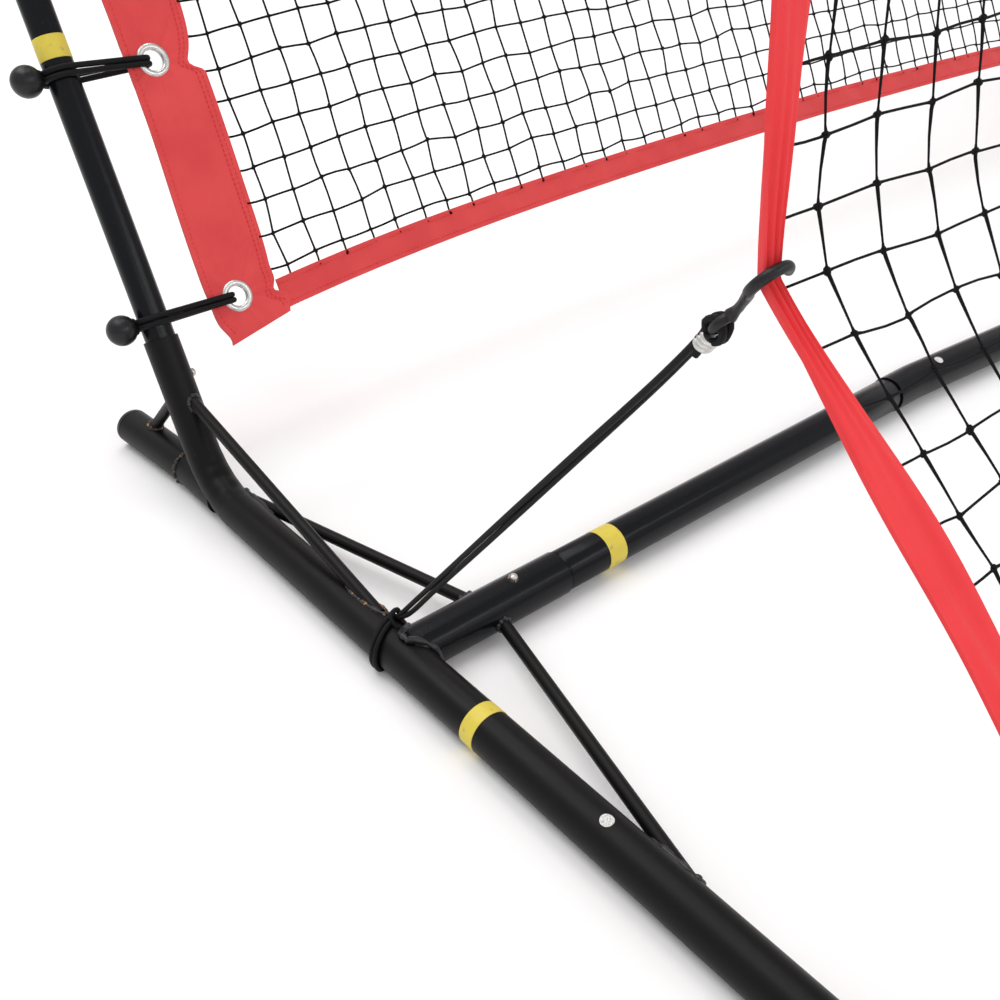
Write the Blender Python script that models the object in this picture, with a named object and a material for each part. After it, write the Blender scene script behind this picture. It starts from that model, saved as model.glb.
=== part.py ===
"""Pitch back rebounder: a black tube frame, a back net laced to it, and a rebound net hooked back at its sides."""

import math

import bmesh
import bpy
import numpy as np
from mathutils import Matrix, Vector

# Driving dimensions, in metres
HALF_WIDTH = 0.900          # middle of the object to a floor tube's axis
CROSS_Y = 0.0200            # the cross tube's axis, front to back
FLOOR_R = 0.0160            # floor tube
STUB_R = 0.0145             # upright socket, swaged down from the floor tube
UPRIGHT_R = 0.0127          # uprights and top frame
CROSS_Z = 0.0178            # cross members' axis above the floor
SOCKET_R = 0.0175           # cross socket and centre tube
CROSS_R = 0.0165            # cross tube
CROSS_SWAGE_R = 0.0152      # cross tube's reduced ends
FRONT_BAR_R = 0.0142
WALL = 0.0015
SOCKET_WALL = 0.0020
SLACK = 0.0003              # gap between pieces that touch
GROOVE = 0.0010             # gap left at a slip joint's shoulder
SIDES = 20                  # sides of a tube

FRONT_Y = -0.6185           # front bar's axis, from the cross tube
FRONT_CORNER_R = 0.060
FRONT_MOUTH_X = 0.130       # where the floor tube ends, inwards along the front
UPRIGHT_Y = 0.2692          # where the upright's axis meets the floor tube's axis
LEAN = math.radians(28.0)   # the upright leans back
BEND_R = 0.065              # bend at the upright's foot
STUB_TOP = 0.135            # along the upright's axis, from the floor tube's axis
FOOT_KINK_Y = 0.317
FOOT_END_Y = 0.412
FOOT_SPLAY = math.radians(4.5)
CAP_LENGTH = 0.005
ELBOW_T = 0.720             # elbow's corner, along the upright's axis
ELBOW_R = 0.120
BOW_JOINT_T = 0.578         # slip joint below the elbow
TOP_Y = -0.111              # top bar's axis
TOP_Z = 1.450
TOP_CORNER_R = 0.060        # bend between an arm and the top bar

STUB_X = 0.145              # cross socket's mouth, inwards from the floor tube
CENTRE_X = 0.581            # centre tube's mouth
CENTRE_STRAIGHT = 0.040     # straight length at each end of the centre tube
CENTRE_BOW = math.radians(4.2)
INSERT = 0.070              # how far a tube goes into its socket
CENTRE_INSERT = 0.036

BUTTON_R = 0.0035
BUTTON_HOLE_R = 0.0038
BUTTON_OUT = 0.0038         # how far a button stands out of its socket
BRACE_R = 0.0050

BALL_R = 0.0125
CORD_D = 0.0050             # ball bungee's cord, two strands side by side
HOOK_CORD_R = 0.0036        # hook cord, both strands together
WRAP_D = 0.0044             # one strand where it goes round the floor tube
HOOK_BAR_R = 0.0027
GROMMET_X = 0.077           # inwards from the floor tube
GROMMET_R = 0.0084
UPRIGHT_BALLS = (0.150, 0.350, 0.550)
ARM_BALLS = (0.230, 0.480, 0.730)

SLEEVE_OUT_X = 0.060        # back net's side sleeve
SLEEVE_IN_X = 0.121
SLEEVE_LOW_T = 0.118
BAND_LOW_T = 0.128
BAND_RISE = 0.029           # how much the bottom band rises towards the middle
BAND_RISE_LENGTH = 0.250
BAND_HEIGHT = 0.026
NET_TOP_MARGIN = 0.060      # from the top bar's axis down to the back net's top edge
HALF_CLOTH = 0.0010

STRAP_OUT_X = 0.006         # front net's side strap
STRAP_WIDTH = 0.024
STRAP_NECK = 0.009          # width where the hook gathers the strap
NECK_LENGTH = 0.050         # share of the strap that narrows towards the hook
NET_FOOT = (-0.6020, 0.0345)
NET_HEAD = (-0.1130, 1.4270)
HOOK_AT = (-0.2500, 0.3820)
HOOK_SHARE = 0.319          # share of the strap's length that lies below the hook
PULL_TERMS = 40
PULL_FADE = 0.45            # per metre: how quickly the hooks' pull fades across the net


def place(inwards, y, z, side):
    """A point given inwards from a floor tube and back from the cross tube."""
    return Vector((side * (HALF_WIDTH - inwards), CROSS_Y + y, z))


def upright_point(inwards, along, side, out=0.0):
    """A point along the upright's axis, with out measured square to it, towards the player."""
    y = UPRIGHT_Y + along * math.sin(LEAN) - out * math.cos(LEAN)
    z = FLOOR_R + along * math.cos(LEAN) + out * math.sin(LEAN)
    return place(inwards, y, z, side)


def elbow_corner():
    return (UPRIGHT_Y + ELBOW_T * math.sin(LEAN), FLOOR_R + ELBOW_T * math.cos(LEAN))


def arm_run():
    """Unit vector up the arm, in y and z, and its length from corner to corner."""
    y, z = elbow_corner()
    length = math.hypot(TOP_Y - y, TOP_Z - z)
    return ((TOP_Y - y) / length, (TOP_Z - z) / length, length)


def arm_point(inwards, along, side, out=0.0):
    """A point along the arm's axis from the elbow's corner, with out towards the player."""
    dy, dz, _ = arm_run()
    y, z = elbow_corner()
    return place(inwards, y + along * dy - out * dz, z + along * dz + out * dy, side)


def clear_scene():
    for item in list(bpy.data.objects):
        bpy.data.objects.remove(item, do_unlink=True)


def paint(name, colour, roughness, metallic):
    material = bpy.data.materials.get(name)
    if material is None:
        material = bpy.data.materials.new(name)
        material.use_nodes = True
        shader = material.node_tree.nodes["Principled BSDF"]
        shader.inputs["Base Color"].default_value = (*colour, 1.0)
        shader.inputs["Roughness"].default_value = roughness
        shader.inputs["Metallic"].default_value = metallic
    return material


def black_steel():
    return paint("black_steel", (0.012, 0.013, 0.016), 0.35, 0.3)


def black_plastic():
    return paint("black_plastic", (0.010, 0.010, 0.011), 0.45, 0.0)


def bright_steel():
    return paint("bright_steel", (0.62, 0.60, 0.57), 0.28, 1.0)


def black_cord():
    return paint("black_cord", (0.011, 0.011, 0.012), 0.75, 0.0)


def red_cloth():
    return paint("red_cloth", (0.80, 0.045, 0.045), 0.70, 0.0)


def black_net():
    return paint("black_net", (0.010, 0.010, 0.012), 0.80, 0.0)


def make_object(name, points, faces, material, smooth=True):
    """A mesh object whose faces all point outwards."""
    mesh = bpy.data.meshes.new(name)
    mesh.from_pydata([tuple(p) for p in points], [], faces)
    work = bmesh.new()
    work.from_mesh(mesh)
    bmesh.ops.recalc_face_normals(work, faces=work.faces)
    if work.calc_volume(signed=True) < 0:
        bmesh.ops.reverse_faces(work, faces=work.faces)
    work.to_mesh(mesh)
    work.free()
    if smooth:
        mesh.shade_smooth()
        mesh.set_sharp_from_angle(angle=math.radians(35))
    mesh.materials.append(material)
    item = bpy.data.objects.new(name, mesh)
    bpy.context.collection.objects.link(item)
    return item


def carry_frames(path, start_up):
    """Two directions square to the path at each point, carried along it without twist."""
    points = [Vector(p) for p in path]
    last = len(points) - 1
    up = Vector(start_up)
    frames = []
    for i in range(last + 1):
        tangent = (points[min(i + 1, last)] - points[max(i - 1, 0)]).normalized()
        up = (up - tangent * up.dot(tangent)).normalized()
        frames.append((up, tangent.cross(up)))
    return points, frames


def ring(point, frame, radius, sides):
    """A regular polygon with its flats at the radius, one of them square to the frame's up."""
    up, across = frame
    corner = radius / math.cos(math.pi / sides)
    turns = [2 * math.pi * (i + 0.5) / sides for i in range(sides)]
    return [point + up * corner * math.cos(a) + across * corner * math.sin(a) for a in turns]


def skin(count, sides, closed):
    """Quads between successive rings; closed joins the last ring to the first."""
    faces = []
    for k in range(count if closed else count - 1):
        a = k * sides
        b = ((k + 1) % count) * sides
        for i in range(sides):
            j = (i + 1) % sides
            faces.append((a + i, a + j, b + j, b + i))
    return faces


def rod(name, path, radii, material, up=(0, 0, 1), sides=SIDES):
    """A solid round bar along a path."""
    points, frames = carry_frames(path, up)
    rings = [ring(p, f, r, sides) for p, f, r in zip(points, frames, radii)]
    count = len(rings)
    faces = skin(count, sides, False)
    faces.append(tuple(range(sides)))
    faces.append(tuple(range((count - 1) * sides, count * sides)))
    return make_object(name, [v for r in rings for v in r], faces, material)


def tube(name, path, outer, inner, material, up=(0, 0, 1), sides=SIDES):
    """A hollow tube along a path, open at both ends."""
    points, frames = carry_frames(path, up)
    rings = [ring(p, f, r, sides) for p, f, r in zip(points, frames, outer)]
    rings += [ring(p, f, r, sides) for p, f, r in zip(points, frames, inner)][::-1]
    faces = skin(len(rings), sides, True)
    return make_object(name, [v for r in rings for v in r], faces, material)


def loop(name, path, sections, material):
    """A closed band: each path point carries its own four section corners."""
    points = [corner for section in sections for corner in section]
    return make_object(name, points, skin(len(path), 4, True), material)


def combine(item, tool, operation):
    """Cut the tool out of the item, or join it on, and delete the tool."""
    step = item.modifiers.new("combine", "BOOLEAN")
    step.operation = operation
    step.object = tool
    step.solver = "EXACT"
    graph = bpy.context.evaluated_depsgraph_get()
    mesh = bpy.data.meshes.new_from_object(item.evaluated_get(graph))
    item.modifiers.remove(step)
    item.data = mesh
    bpy.data.objects.remove(tool, do_unlink=True)
    return item


def arc(before, corner, after, radius, steps):
    """Points round the bend of this radius that joins two straight runs at a corner."""
    corner = Vector(corner)
    towards = (Vector(before) - corner).normalized()
    away = (Vector(after) - corner).normalized()
    half = towards.angle(away) / 2
    centre = corner + (towards + away).normalized() * radius / math.sin(half)
    start = corner + towards * radius / math.tan(half) - centre
    travel = towards * -radius
    sweep = math.pi - 2 * half
    turns = [sweep * i / steps for i in range(steps + 1)]
    return [centre + start * math.cos(a) + travel * math.sin(a) for a in turns]


def square_to(axis):
    """Any direction that isn't along the axis."""
    return (0, 0, 1) if abs(axis[2]) < 0.8 else (0, 1, 0)


def drill_hole(item, centre, axis, reach):
    """The hole through one wall that a snap button stands in."""
    drill = rod("drill", [centre, centre + axis * reach], [BUTTON_HOLE_R] * 2, black_steel(), square_to(axis), 12)
    return combine(item, drill, "DIFFERENCE")


def snap_button(name, centre, axis, socket_r, bore_r):
    """A domed button whose flange stops it inside the inner tube; its origin is on its axis."""
    flange = bore_r - 0.0016
    heights = (flange - 0.0016, flange, flange, socket_r + BUTTON_OUT * 0.4,
               socket_r + BUTTON_OUT * 0.8, socket_r + BUTTON_OUT)
    radii = (0.0044, 0.0044, BUTTON_R, BUTTON_R, BUTTON_R * 0.80, BUTTON_R * 0.35)
    up = Vector(square_to(axis))
    up = (up - axis * up.dot(axis)).normalized()
    frame = (up, axis.cross(up))
    points = [p for h, r in zip(heights, radii) for p in ring(axis * h, frame, r, 12)]
    faces = skin(len(heights), 12, False)
    faces.append(tuple(range(12)))
    faces.append(tuple(range(60, 72)))
    item = make_object(name, points, faces, bright_steel())
    item.location = centre
    return item


def side_name(side):
    return "left" if side < 0 else "right"


def base_path(side):
    """Front bar's mouth, front corner, floor tube, bend and upright socket."""
    mouth = place(FRONT_MOUTH_X, FRONT_Y, FLOOR_R, side)
    front = place(0, FRONT_Y, FLOOR_R, side)
    foot = upright_point(0, 0, side)
    top = upright_point(0, STUB_TOP, side)
    points = [mouth] + arc(mouth, front, foot, FRONT_CORNER_R, 8)
    bend = arc(front, foot, top, BEND_R, 8)
    radii = [FLOOR_R] * len(points)
    radii += [FLOOR_R + (STUB_R - FLOOR_R) * i / 8 for i in range(9)]
    return points + bend + [top], radii + [STUB_R]


def foot_path(side):
    kink = place(0, FOOT_KINK_Y, FLOOR_R, side)
    run = FOOT_END_Y - FOOT_KINK_Y
    end = place(-run * math.tan(FOOT_SPLAY), FOOT_END_Y, FLOOR_R, side)
    return [place(0, UPRIGHT_Y - 0.015, FLOOR_R, side), kink, end]


def cut_round(item, path, radii, up=(0, 0, 1)):
    """Cope a piece to the tube that it is welded to, leaving the slack."""
    tool = rod("cope", path, [r + SLACK for r in radii], black_steel(), up)
    return combine(item, tool, "DIFFERENCE")


def base_side(side):
    """One welded side: floor tube, rear foot and its cap, cross socket and four braces."""
    label = side_name(side)
    path, radii = base_path(side)
    inner = [r - WALL for r in radii]
    floor_tube = tube("floor_tube_" + label, path, radii, inner, black_steel())
    inwards = Vector((-side, 0, 0))
    drill_hole(floor_tube, upright_point(0, 0.101, side), inwards, 0.020)

    foot = foot_path(side)
    rear_foot = tube("rear_foot_" + label, foot, [FLOOR_R] * 3, [FLOOR_R - WALL] * 3, black_steel())
    cut_round(rear_foot, path[9:], radii[9:])
    end = foot[2]
    along = (foot[2] - foot[1]).normalized()
    plug = FLOOR_R - WALL - SLACK
    steps = [end - along * 0.012, end + along * SLACK, end + along * SLACK, end + along * (CAP_LENGTH - 0.001),
             end + along * CAP_LENGTH]
    rod("rear_cap_" + label, steps, [plug, plug, FLOOR_R, FLOOR_R, FLOOR_R - 0.001], black_plastic())

    stub = [place(0.003, 0, CROSS_Z, side), place(STUB_X, 0, CROSS_Z, side)]
    bore = SOCKET_R - SOCKET_WALL
    socket = tube("cross_socket_" + label, stub, [SOCKET_R] * 2, [bore] * 2, black_steel())
    cut_round(socket, path[9:], radii[9:])
    drill_hole(socket, place(0.100, 0, CROSS_Z, side), Vector((0, 0, 1)), 0.024)
    braces(side, path, radii, foot, stub)


def braces(side, path, radii, foot, stub):
    """Round bars welded between the floor tube, the upright socket, the cross socket and the foot."""
    label = side_name(side)
    runs = {
        "upright_brace_": (upright_point(0.003, 0.080, side, 0.010), place(0.006, 0.038, 0.027, side)),
        "rear_brace_": (place(0.006, 0.262, 0.020, side), place(0.070, 0.008, 0.022, side)),
        "foot_brace_": (place(-0.002, 0.384, 0.024, side), upright_point(0.0, 0.088, side, -0.006)),
        "front_brace_": (place(0.078, -0.012, 0.015, side), place(0.008, -0.270, 0.020, side)),
    }
    for name, (start, end) in runs.items():
        brace = rod(name + label, [start, end], [BRACE_R] * 2, black_steel(), sides=10)
        cut_round(brace, path[9:], radii[9:])
        if name in ("rear_brace_", "front_brace_"):
            cut_round(brace, stub, [SOCKET_R] * 2)
        if name in ("rear_brace_", "foot_brace_"):
            cut_round(brace, foot, [FLOOR_R] * 3)


def cross_members():
    """Two cross tubes with reduced ends, and the bowed centre tube they slide into."""
    for side in (-1, 1):
        stops = ((STUB_X - INSERT, CROSS_SWAGE_R), (STUB_X + GROOVE, CROSS_SWAGE_R),
                 (STUB_X + GROOVE + 0.0006, CROSS_R - 0.0006), (STUB_X + GROOVE + 0.0014, CROSS_R),
                 (CENTRE_X - GROOVE - 0.0014, CROSS_R), (CENTRE_X - GROOVE - 0.0006, CROSS_R - 0.0006),
                 (CENTRE_X - GROOVE, CROSS_SWAGE_R), (CENTRE_X + CENTRE_INSERT, CROSS_SWAGE_R))
        path = [place(x, 0, CROSS_Z, side) for x, _ in stops]
        radii = [r for _, r in stops]
        inner = [CROSS_SWAGE_R - WALL] * len(stops)
        cross = tube("cross_tube_" + side_name(side), path, radii, inner, black_steel())
        drill_hole(cross, place(0.100, 0, CROSS_Z, side), Vector((0, 0, 1)), 0.024)
        drill_hole(cross, place(CENTRE_X + 0.020, 0, CROSS_Z, side), Vector((0, 1, 0)), 0.024)

    bend_x = CENTRE_X + CENTRE_STRAIGHT
    depth = (HALF_WIDTH - bend_x) * math.tan(CENTRE_BOW)
    middle = place(HALF_WIDTH, -depth, CROSS_Z, -1)
    mouths = [place(CENTRE_X, 0, CROSS_Z, side) for side in (-1, 1)]
    bends = [place(bend_x, 0, CROSS_Z, side) for side in (-1, 1)]
    path = [mouths[0]] + arc(mouths[0], bends[0], middle, 0.25, 2)
    path += arc(bends[0], middle, bends[1], 0.50, 4)
    path += arc(middle, bends[1], mouths[1], 0.25, 2) + [mouths[1]]
    bore = SOCKET_R - SOCKET_WALL
    centre = tube("cross_tube_centre", path, [SOCKET_R] * len(path), [bore] * len(path), black_steel())
    for side in (-1, 1):
        drill_hole(centre, place(CENTRE_X + 0.020, 0, CROSS_Z, side), Vector((0, 1, 0)), 0.024)


def front_bar():
    """Two halves that plug into the floor tubes' front ends and into each other in the middle."""
    bore = FRONT_BAR_R - WALL
    inside = FLOOR_R - WALL - SLACK
    left = [place(x, FRONT_Y, FLOOR_R, -1) for x in (FRONT_MOUTH_X - INSERT + 0.010, HALF_WIDTH)]
    tube("front_bar_left", left, [inside] * 2, [bore] * 2, black_steel())
    right = [place(x, FRONT_Y, FLOOR_R, 1)
             for x in (FRONT_MOUTH_X - INSERT + 0.010, HALF_WIDTH - GROOVE, HALF_WIDTH - GROOVE + 0.0005,
                       HALF_WIDTH + INSERT)]
    spigot = bore - SLACK
    tube("front_bar_right", right, [inside, inside, spigot, spigot], [spigot - WALL] * 4, black_steel())


def uprights_and_top():
    """Lower uprights, and two top frames that each bend at the elbow and at the top corner."""
    bore = UPRIGHT_R - WALL
    swage = bore - SLACK
    for side in (-1, 1):
        label = side_name(side)
        inwards = Vector((-side, 0, 0))
        stops = ((STUB_TOP - INSERT, UPRIGHT_R), (BOW_JOINT_T - GROOVE, UPRIGHT_R),
                 (BOW_JOINT_T, swage), (BOW_JOINT_T + 0.030, swage))
        path = [upright_point(0, t, side) for t, _ in stops]
        upright = tube("upright_" + label, path, [r for _, r in stops], [swage - WALL] * 4, black_steel(), (1, 0, 0))
        drill_hole(upright, upright_point(0, 0.101, side), inwards, 0.020)
        drill_hole(upright, upright_point(0, BOW_JOINT_T + 0.018, side), inwards, 0.020)

        start = upright_point(0, BOW_JOINT_T + SLACK, side)
        elbow = upright_point(0, ELBOW_T, side)
        corner = place(0, TOP_Y, TOP_Z, side)
        middle = place(HALF_WIDTH, TOP_Y, TOP_Z, side)
        path = [start] + arc(start, elbow, corner, ELBOW_R, 10) + arc(elbow, corner, middle, TOP_CORNER_R, 8)
        outer = [UPRIGHT_R] * len(path)
        inner = [bore] * len(path)
        if side < 0:
            path.append(middle)
            outer.append(UPRIGHT_R)
            inner.append(bore)
        else:
            ends = (HALF_WIDTH - GROOVE, HALF_WIDTH - GROOVE + 0.0005, HALF_WIDTH + INSERT)
            path += [place(x, TOP_Y, TOP_Z, side) for x in ends]
            outer += [UPRIGHT_R, swage, swage]
            narrow = swage - WALL
            inner += [narrow] * 3
            inner[-4] = narrow
        top = tube("top_frame_" + label, path, outer, inner, black_steel(), (1, 0, 0))
        drill_hole(top, upright_point(0, BOW_JOINT_T + 0.018, side), inwards, 0.020)


def buttons():
    """Snap buttons at the slip joints, each free to slide inwards."""
    up = Vector((0, 0, 1))
    back = Vector((0, 1, 0))
    cross_bore = CROSS_SWAGE_R - WALL
    for side in (-1, 1):
        label = side_name(side)
        inwards = Vector((-side, 0, 0))
        bore = UPRIGHT_R - WALL - SLACK - WALL
        snap_button("upright_button_" + label, upright_point(0, 0.101, side), inwards, STUB_R, bore)
        snap_button("elbow_button_" + label, upright_point(0, BOW_JOINT_T + 0.018, side), inwards,
                    UPRIGHT_R, bore)
        snap_button("cross_button_" + label, place(0.100, 0, CROSS_Z, side), up, SOCKET_R, cross_bore)
        snap_button("centre_button_" + label, place(CENTRE_X + 0.020, 0, CROSS_Z, side), back,
                    SOCKET_R, cross_bore)


def slab(name, centres, normals, half, material):
    """A thin closed sheet of triangles: the grid of centres pushed out half its thickness both ways."""
    rows, cols = centres.shape[:2]
    front = (centres + normals * half).reshape(-1, 3)
    back = (centres - normals * half).reshape(-1, 3)
    count = rows * cols
    faces = []
    for i in range(rows - 1):
        for j in range(cols - 1):
            a = i * cols + j
            for triangle in ((a, a + 1, a + cols + 1), (a, a + cols + 1, a + cols)):
                faces.append(triangle)
                faces.append(tuple(count + v for v in reversed(triangle)))
    rim = [j for j in range(cols)]
    rim += [i * cols + cols - 1 for i in range(1, rows)]
    rim += [(rows - 1) * cols + j for j in range(cols - 2, -1, -1)]
    rim += [i * cols for i in range(rows - 2, 0, -1)]
    for a, b in zip(rim, rim[1:] + rim[:1]):
        faces.append((b, a, count + a))
        faces.append((b, count + a, count + b))
    return make_object(name, np.concatenate([front, back]), faces, material)


def back_rail(along):
    """Centre and player-side normal of the back net's plane, at a length along the frame."""
    dy, dz, run = arm_run()
    turn = LEAN + math.atan2(-dy, dz)
    tangent = ELBOW_R * math.tan(turn / 2)
    bend_start = ELBOW_T - tangent
    bend_length = ELBOW_R * turn
    if along <= bend_start:
        point = upright_point(0, along, -1)
        lean = LEAN
    elif along <= bend_start + bend_length:
        angle = (along - bend_start) / ELBOW_R
        lean = LEAN - angle
        foot = upright_point(0, bend_start, -1, ELBOW_R)
        point = foot + Vector((0, math.cos(lean), -math.sin(lean))) * ELBOW_R
    else:
        point = arm_point(0, along - bend_start - bend_length + tangent, -1)
        lean = LEAN - turn
    return point, Vector((0, -math.cos(lean), math.sin(lean)))


def rail_length():
    """Length along the frame from the upright's foot to the back net's top edge."""
    dy, dz, run = arm_run()
    turn = LEAN + math.atan2(-dy, dz)
    tangent = ELBOW_R * math.tan(turn / 2)
    return ELBOW_T - tangent + ELBOW_R * turn + run - tangent - NET_TOP_MARGIN


def rail_grid(inwards_rows, along_rows):
    """Grid of centres and normals for cloth in the back net's plane."""
    centres = np.zeros((len(along_rows), len(inwards_rows[0]), 3))
    normals = np.zeros_like(centres)
    for i, (xs, alongs) in enumerate(zip(inwards_rows, along_rows)):
        for j, (x, along) in enumerate(zip(xs, alongs)):
            point, normal = back_rail(along)
            centres[i, j] = (x - HALF_WIDTH, point.y, point.z)
            normals[i, j] = normal
    return centres, normals


def rail_stops(low, high):
    """Lengths along the frame that follow the elbow's bend closely and the straights loosely."""
    dy, dz, run = arm_run()
    turn = LEAN + math.atan2(-dy, dz)
    tangent = ELBOW_R * math.tan(turn / 2)
    bend = np.linspace(ELBOW_T - tangent, ELBOW_T - tangent + ELBOW_R * turn, 7)
    return [low] + [s for s in bend if low < s < high] + [high]


def band_low(x):
    """Lower edge of the back net's bottom band, which rises away from each corner."""
    near = min(x, 2 * HALF_WIDTH - x) - SLEEVE_IN_X
    return BAND_LOW_T + BAND_RISE * (1 - math.exp(-near / BAND_RISE_LENGTH))


def back_net():
    top = rail_length()
    width = 2 * HALF_WIDTH
    for side in (-1, 1):
        stops = rail_stops(SLEEVE_LOW_T, top)
        xs = [SLEEVE_OUT_X, SLEEVE_IN_X]
        centres, normals = rail_grid([xs] * len(stops), [[s, s] for s in stops])
        if side > 0:
            centres[:, :, 0] *= -1
        sleeve = slab("back_sleeve_" + side_name(side), centres, normals, HALF_CLOTH, red_cloth())
        for point, normal in ball_places(side):
            centre = point + Vector((-side * GROMMET_X, 0, 0))
            punch = rod("punch", [centre - normal * 0.01, centre + normal * 0.01], [GROMMET_R] * 2,
                        red_cloth(), (1, 0, 0), 16)
            combine(sleeve, punch, "DIFFERENCE")

    inner = SLEEVE_IN_X + SLACK
    xs = list(np.linspace(inner, width - inner, 17))
    low = [band_low(x) for x in xs]
    high = [s + BAND_HEIGHT for s in low]
    centres, normals = rail_grid([xs, xs], [low, high])
    slab("back_band_bottom", centres, normals, HALF_CLOTH, red_cloth())
    centres, normals = rail_grid([xs, xs], [[top - BAND_HEIGHT] * 17, [top] * 17])
    slab("back_band_top", centres, normals, HALF_CLOTH, red_cloth())

    rows = [[s + SLACK for s in high]]
    rows += [[s] * 17 for s in rail_stops(0.40, top - BAND_HEIGHT - SLACK)]
    centres, normals = rail_grid([xs] * len(rows), rows)
    slab("back_net", centres, normals, HALF_CLOTH, black_net())


def pull_series(x, share):
    """How far the net follows its hooked straps: all the way at both edges, a little less in the middle."""
    n = np.arange(1, PULL_TERMS + 1)
    kink = 2 * np.sin(n * math.pi * HOOK_SHARE) / (n**2 * math.pi**2 * HOOK_SHARE * (1 - HOOK_SHARE))
    half = HALF_WIDTH - STRAP_OUT_X
    away = min(abs(HALF_WIDTH - x), half)
    inwards = np.cosh(PULL_FADE * n * away) / np.cosh(PULL_FADE * n * half)
    return float(np.sum(kink * np.sin(n * math.pi * share) * inwards))


def front_point(x, share):
    """A point of the front net, inwards from the left floor tube, from foot 0 to top 1."""
    top_y, top_z = NET_HEAD
    low_y, low_z = NET_FOOT
    flat_y = low_y + (top_y - low_y) * share
    flat_z = low_z + (top_z - low_z) * share
    hook_y = HOOK_AT[0] - low_y - (top_y - low_y) * HOOK_SHARE
    hook_z = HOOK_AT[1] - low_z - (top_z - low_z) * HOOK_SHARE
    pull = pull_series(x, share)
    return np.array((x - HALF_WIDTH, CROSS_Y + flat_y + hook_y * pull, flat_z + hook_z * pull))


def front_normal(x, share):
    step = 0.002
    across = front_point(x + step, share) - front_point(x - step, share)
    up = front_point(x, min(share + step, 1)) - front_point(x, max(share - step, 0))
    normal = np.cross(across, up)
    return normal / np.linalg.norm(normal)


def neck(share):
    """1 at the hook, falling to 0 away from it."""
    return math.exp(-((share - HOOK_SHARE) / NECK_LENGTH) ** 2)


def front_net():
    shares = sorted(set(np.linspace(0, 1, 13)) | {HOOK_SHARE + d for d in (-0.05, -0.025, 0, 0.025, 0.05)})
    inner = STRAP_OUT_X + STRAP_WIDTH + SLACK
    width = 2 * HALF_WIDTH
    edge = [0, 0.05, 0.13, 0.25, 0.45, 0.65]
    xs = [inner + d for d in edge] + [width - inner - d for d in reversed(edge)]
    centres = np.array([[front_point(x, s) for x in xs] for s in shares])
    normals = np.array([[front_normal(x, s) for x in xs] for s in shares])
    slab("front_net", centres, normals, HALF_CLOTH, black_net())

    fine = sorted(set(np.linspace(0, 1, 11)) | {HOOK_SHARE + 0.012 * k for k in range(-7, 8)})
    for side in (-1, 1):
        sections = []
        for share in fine:
            narrow = neck(share)
            half = STRAP_WIDTH / 2 * (1 - narrow) + STRAP_NECK / 2 * narrow
            mid = STRAP_OUT_X + STRAP_WIDTH / 2 * (1 - narrow) + 0.003 * narrow
            thick = HALF_CLOTH * (1 - narrow) + 0.0025 * narrow
            centre = front_point(STRAP_OUT_X, share)
            normal = front_normal(STRAP_OUT_X + 0.004, share)
            normal[0] = 0
            normal /= np.linalg.norm(normal)
            sections.append((centre, half, mid, thick, normal))
        points = []
        for centre, half, mid, thick, normal in sections:
            for dx, dn in ((-half, -thick), (half, -thick), (half, thick), (-half, thick)):
                point = centre + normal * dn
                point[0] = -side * (mid + dx - HALF_WIDTH)
                points.append(point)
        count = len(sections)
        faces = skin(count, 4, False)
        faces.append((0, 1, 2, 3))
        faces.append(tuple(range(4 * count - 4, 4 * count)))
        make_object("front_strap_" + side_name(side), points, faces, red_cloth())

    top = [place(x, TOP_Y, TOP_Z, -1) for x in (0.075, width - 0.075)]
    bore = UPRIGHT_R + SLACK
    tube("front_top_sleeve", top, [bore + 0.0018] * 2, [bore] * 2, red_cloth())
    foot = [place(x, FRONT_Y, FLOOR_R, -1) for x in (FRONT_MOUTH_X + 0.004, width - FRONT_MOUTH_X - 0.004)]
    bore = FLOOR_R - WALL
    tube("front_foot_sleeve", foot, [bore + 0.0012] * 2, [bore] * 2, red_cloth())


def ball_places(side):
    """Points on the frame's axis, and player-side normals, where ball bungees go round it."""
    up = [(upright_point(0, t, side), upright_point(0, t, side, 1) - upright_point(0, t, side, 0))
          for t in UPRIGHT_BALLS]
    arm = [(arm_point(0, t, side), arm_point(0, t, side, 1) - arm_point(0, t, side, 0)) for t in ARM_BALLS]
    return up + arm


def ball_bungees():
    """A ball with a doubled cord that goes round the tube and through its grommet."""
    reach = UPRIGHT_R + 3 * SLACK + CORD_D / 2
    tip_r = 0.0039
    tip_x = 0.0693
    for side in (-1, 1):
        for number, (point, normal) in enumerate(ball_places(side), 1):
            inwards = Vector((-side, 0, 0))
            along = inwards.cross(normal)
            route = []
            for i in range(9):
                angle = math.pi / 2 + math.pi * i / 8
                route.append((reach * math.cos(angle), reach * math.sin(angle)))
            for i in range(5):
                angle = -math.pi / 2 + math.pi * i / 4
                route.append((tip_x + tip_r * math.cos(angle), tip_r * math.sin(angle)))
            sections = []
            count = len(route)
            for i, (u, w) in enumerate(route):
                ahead = route[(i + 1) % count]
                behind = route[i - 1]
                du, dw = ahead[0] - behind[0], ahead[1] - behind[1]
                size = math.hypot(du, dw)
                side_u, side_w = dw / size, -du / size
                corners = []
                for a, b in ((-1, -1), (1, -1), (1, 1), (-1, 1)):
                    off_u = u + side_u * a * CORD_D / 2
                    off_w = w + side_w * a * CORD_D / 2
                    corners.append(point + inwards * off_u + normal * off_w + along * b * CORD_D)
                sections.append(corners)
            item = loop("ball_bungee_%s_%d" % (side_name(side), number), route, sections, black_cord())
            bpy.ops.mesh.primitive_uv_sphere_add(segments=12, ring_count=8, radius=BALL_R)
            ball = bpy.context.object
            ball.data.transform(Matrix.Translation(point - inwards * 0.0280))
            combine(item, ball, "UNION")


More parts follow.
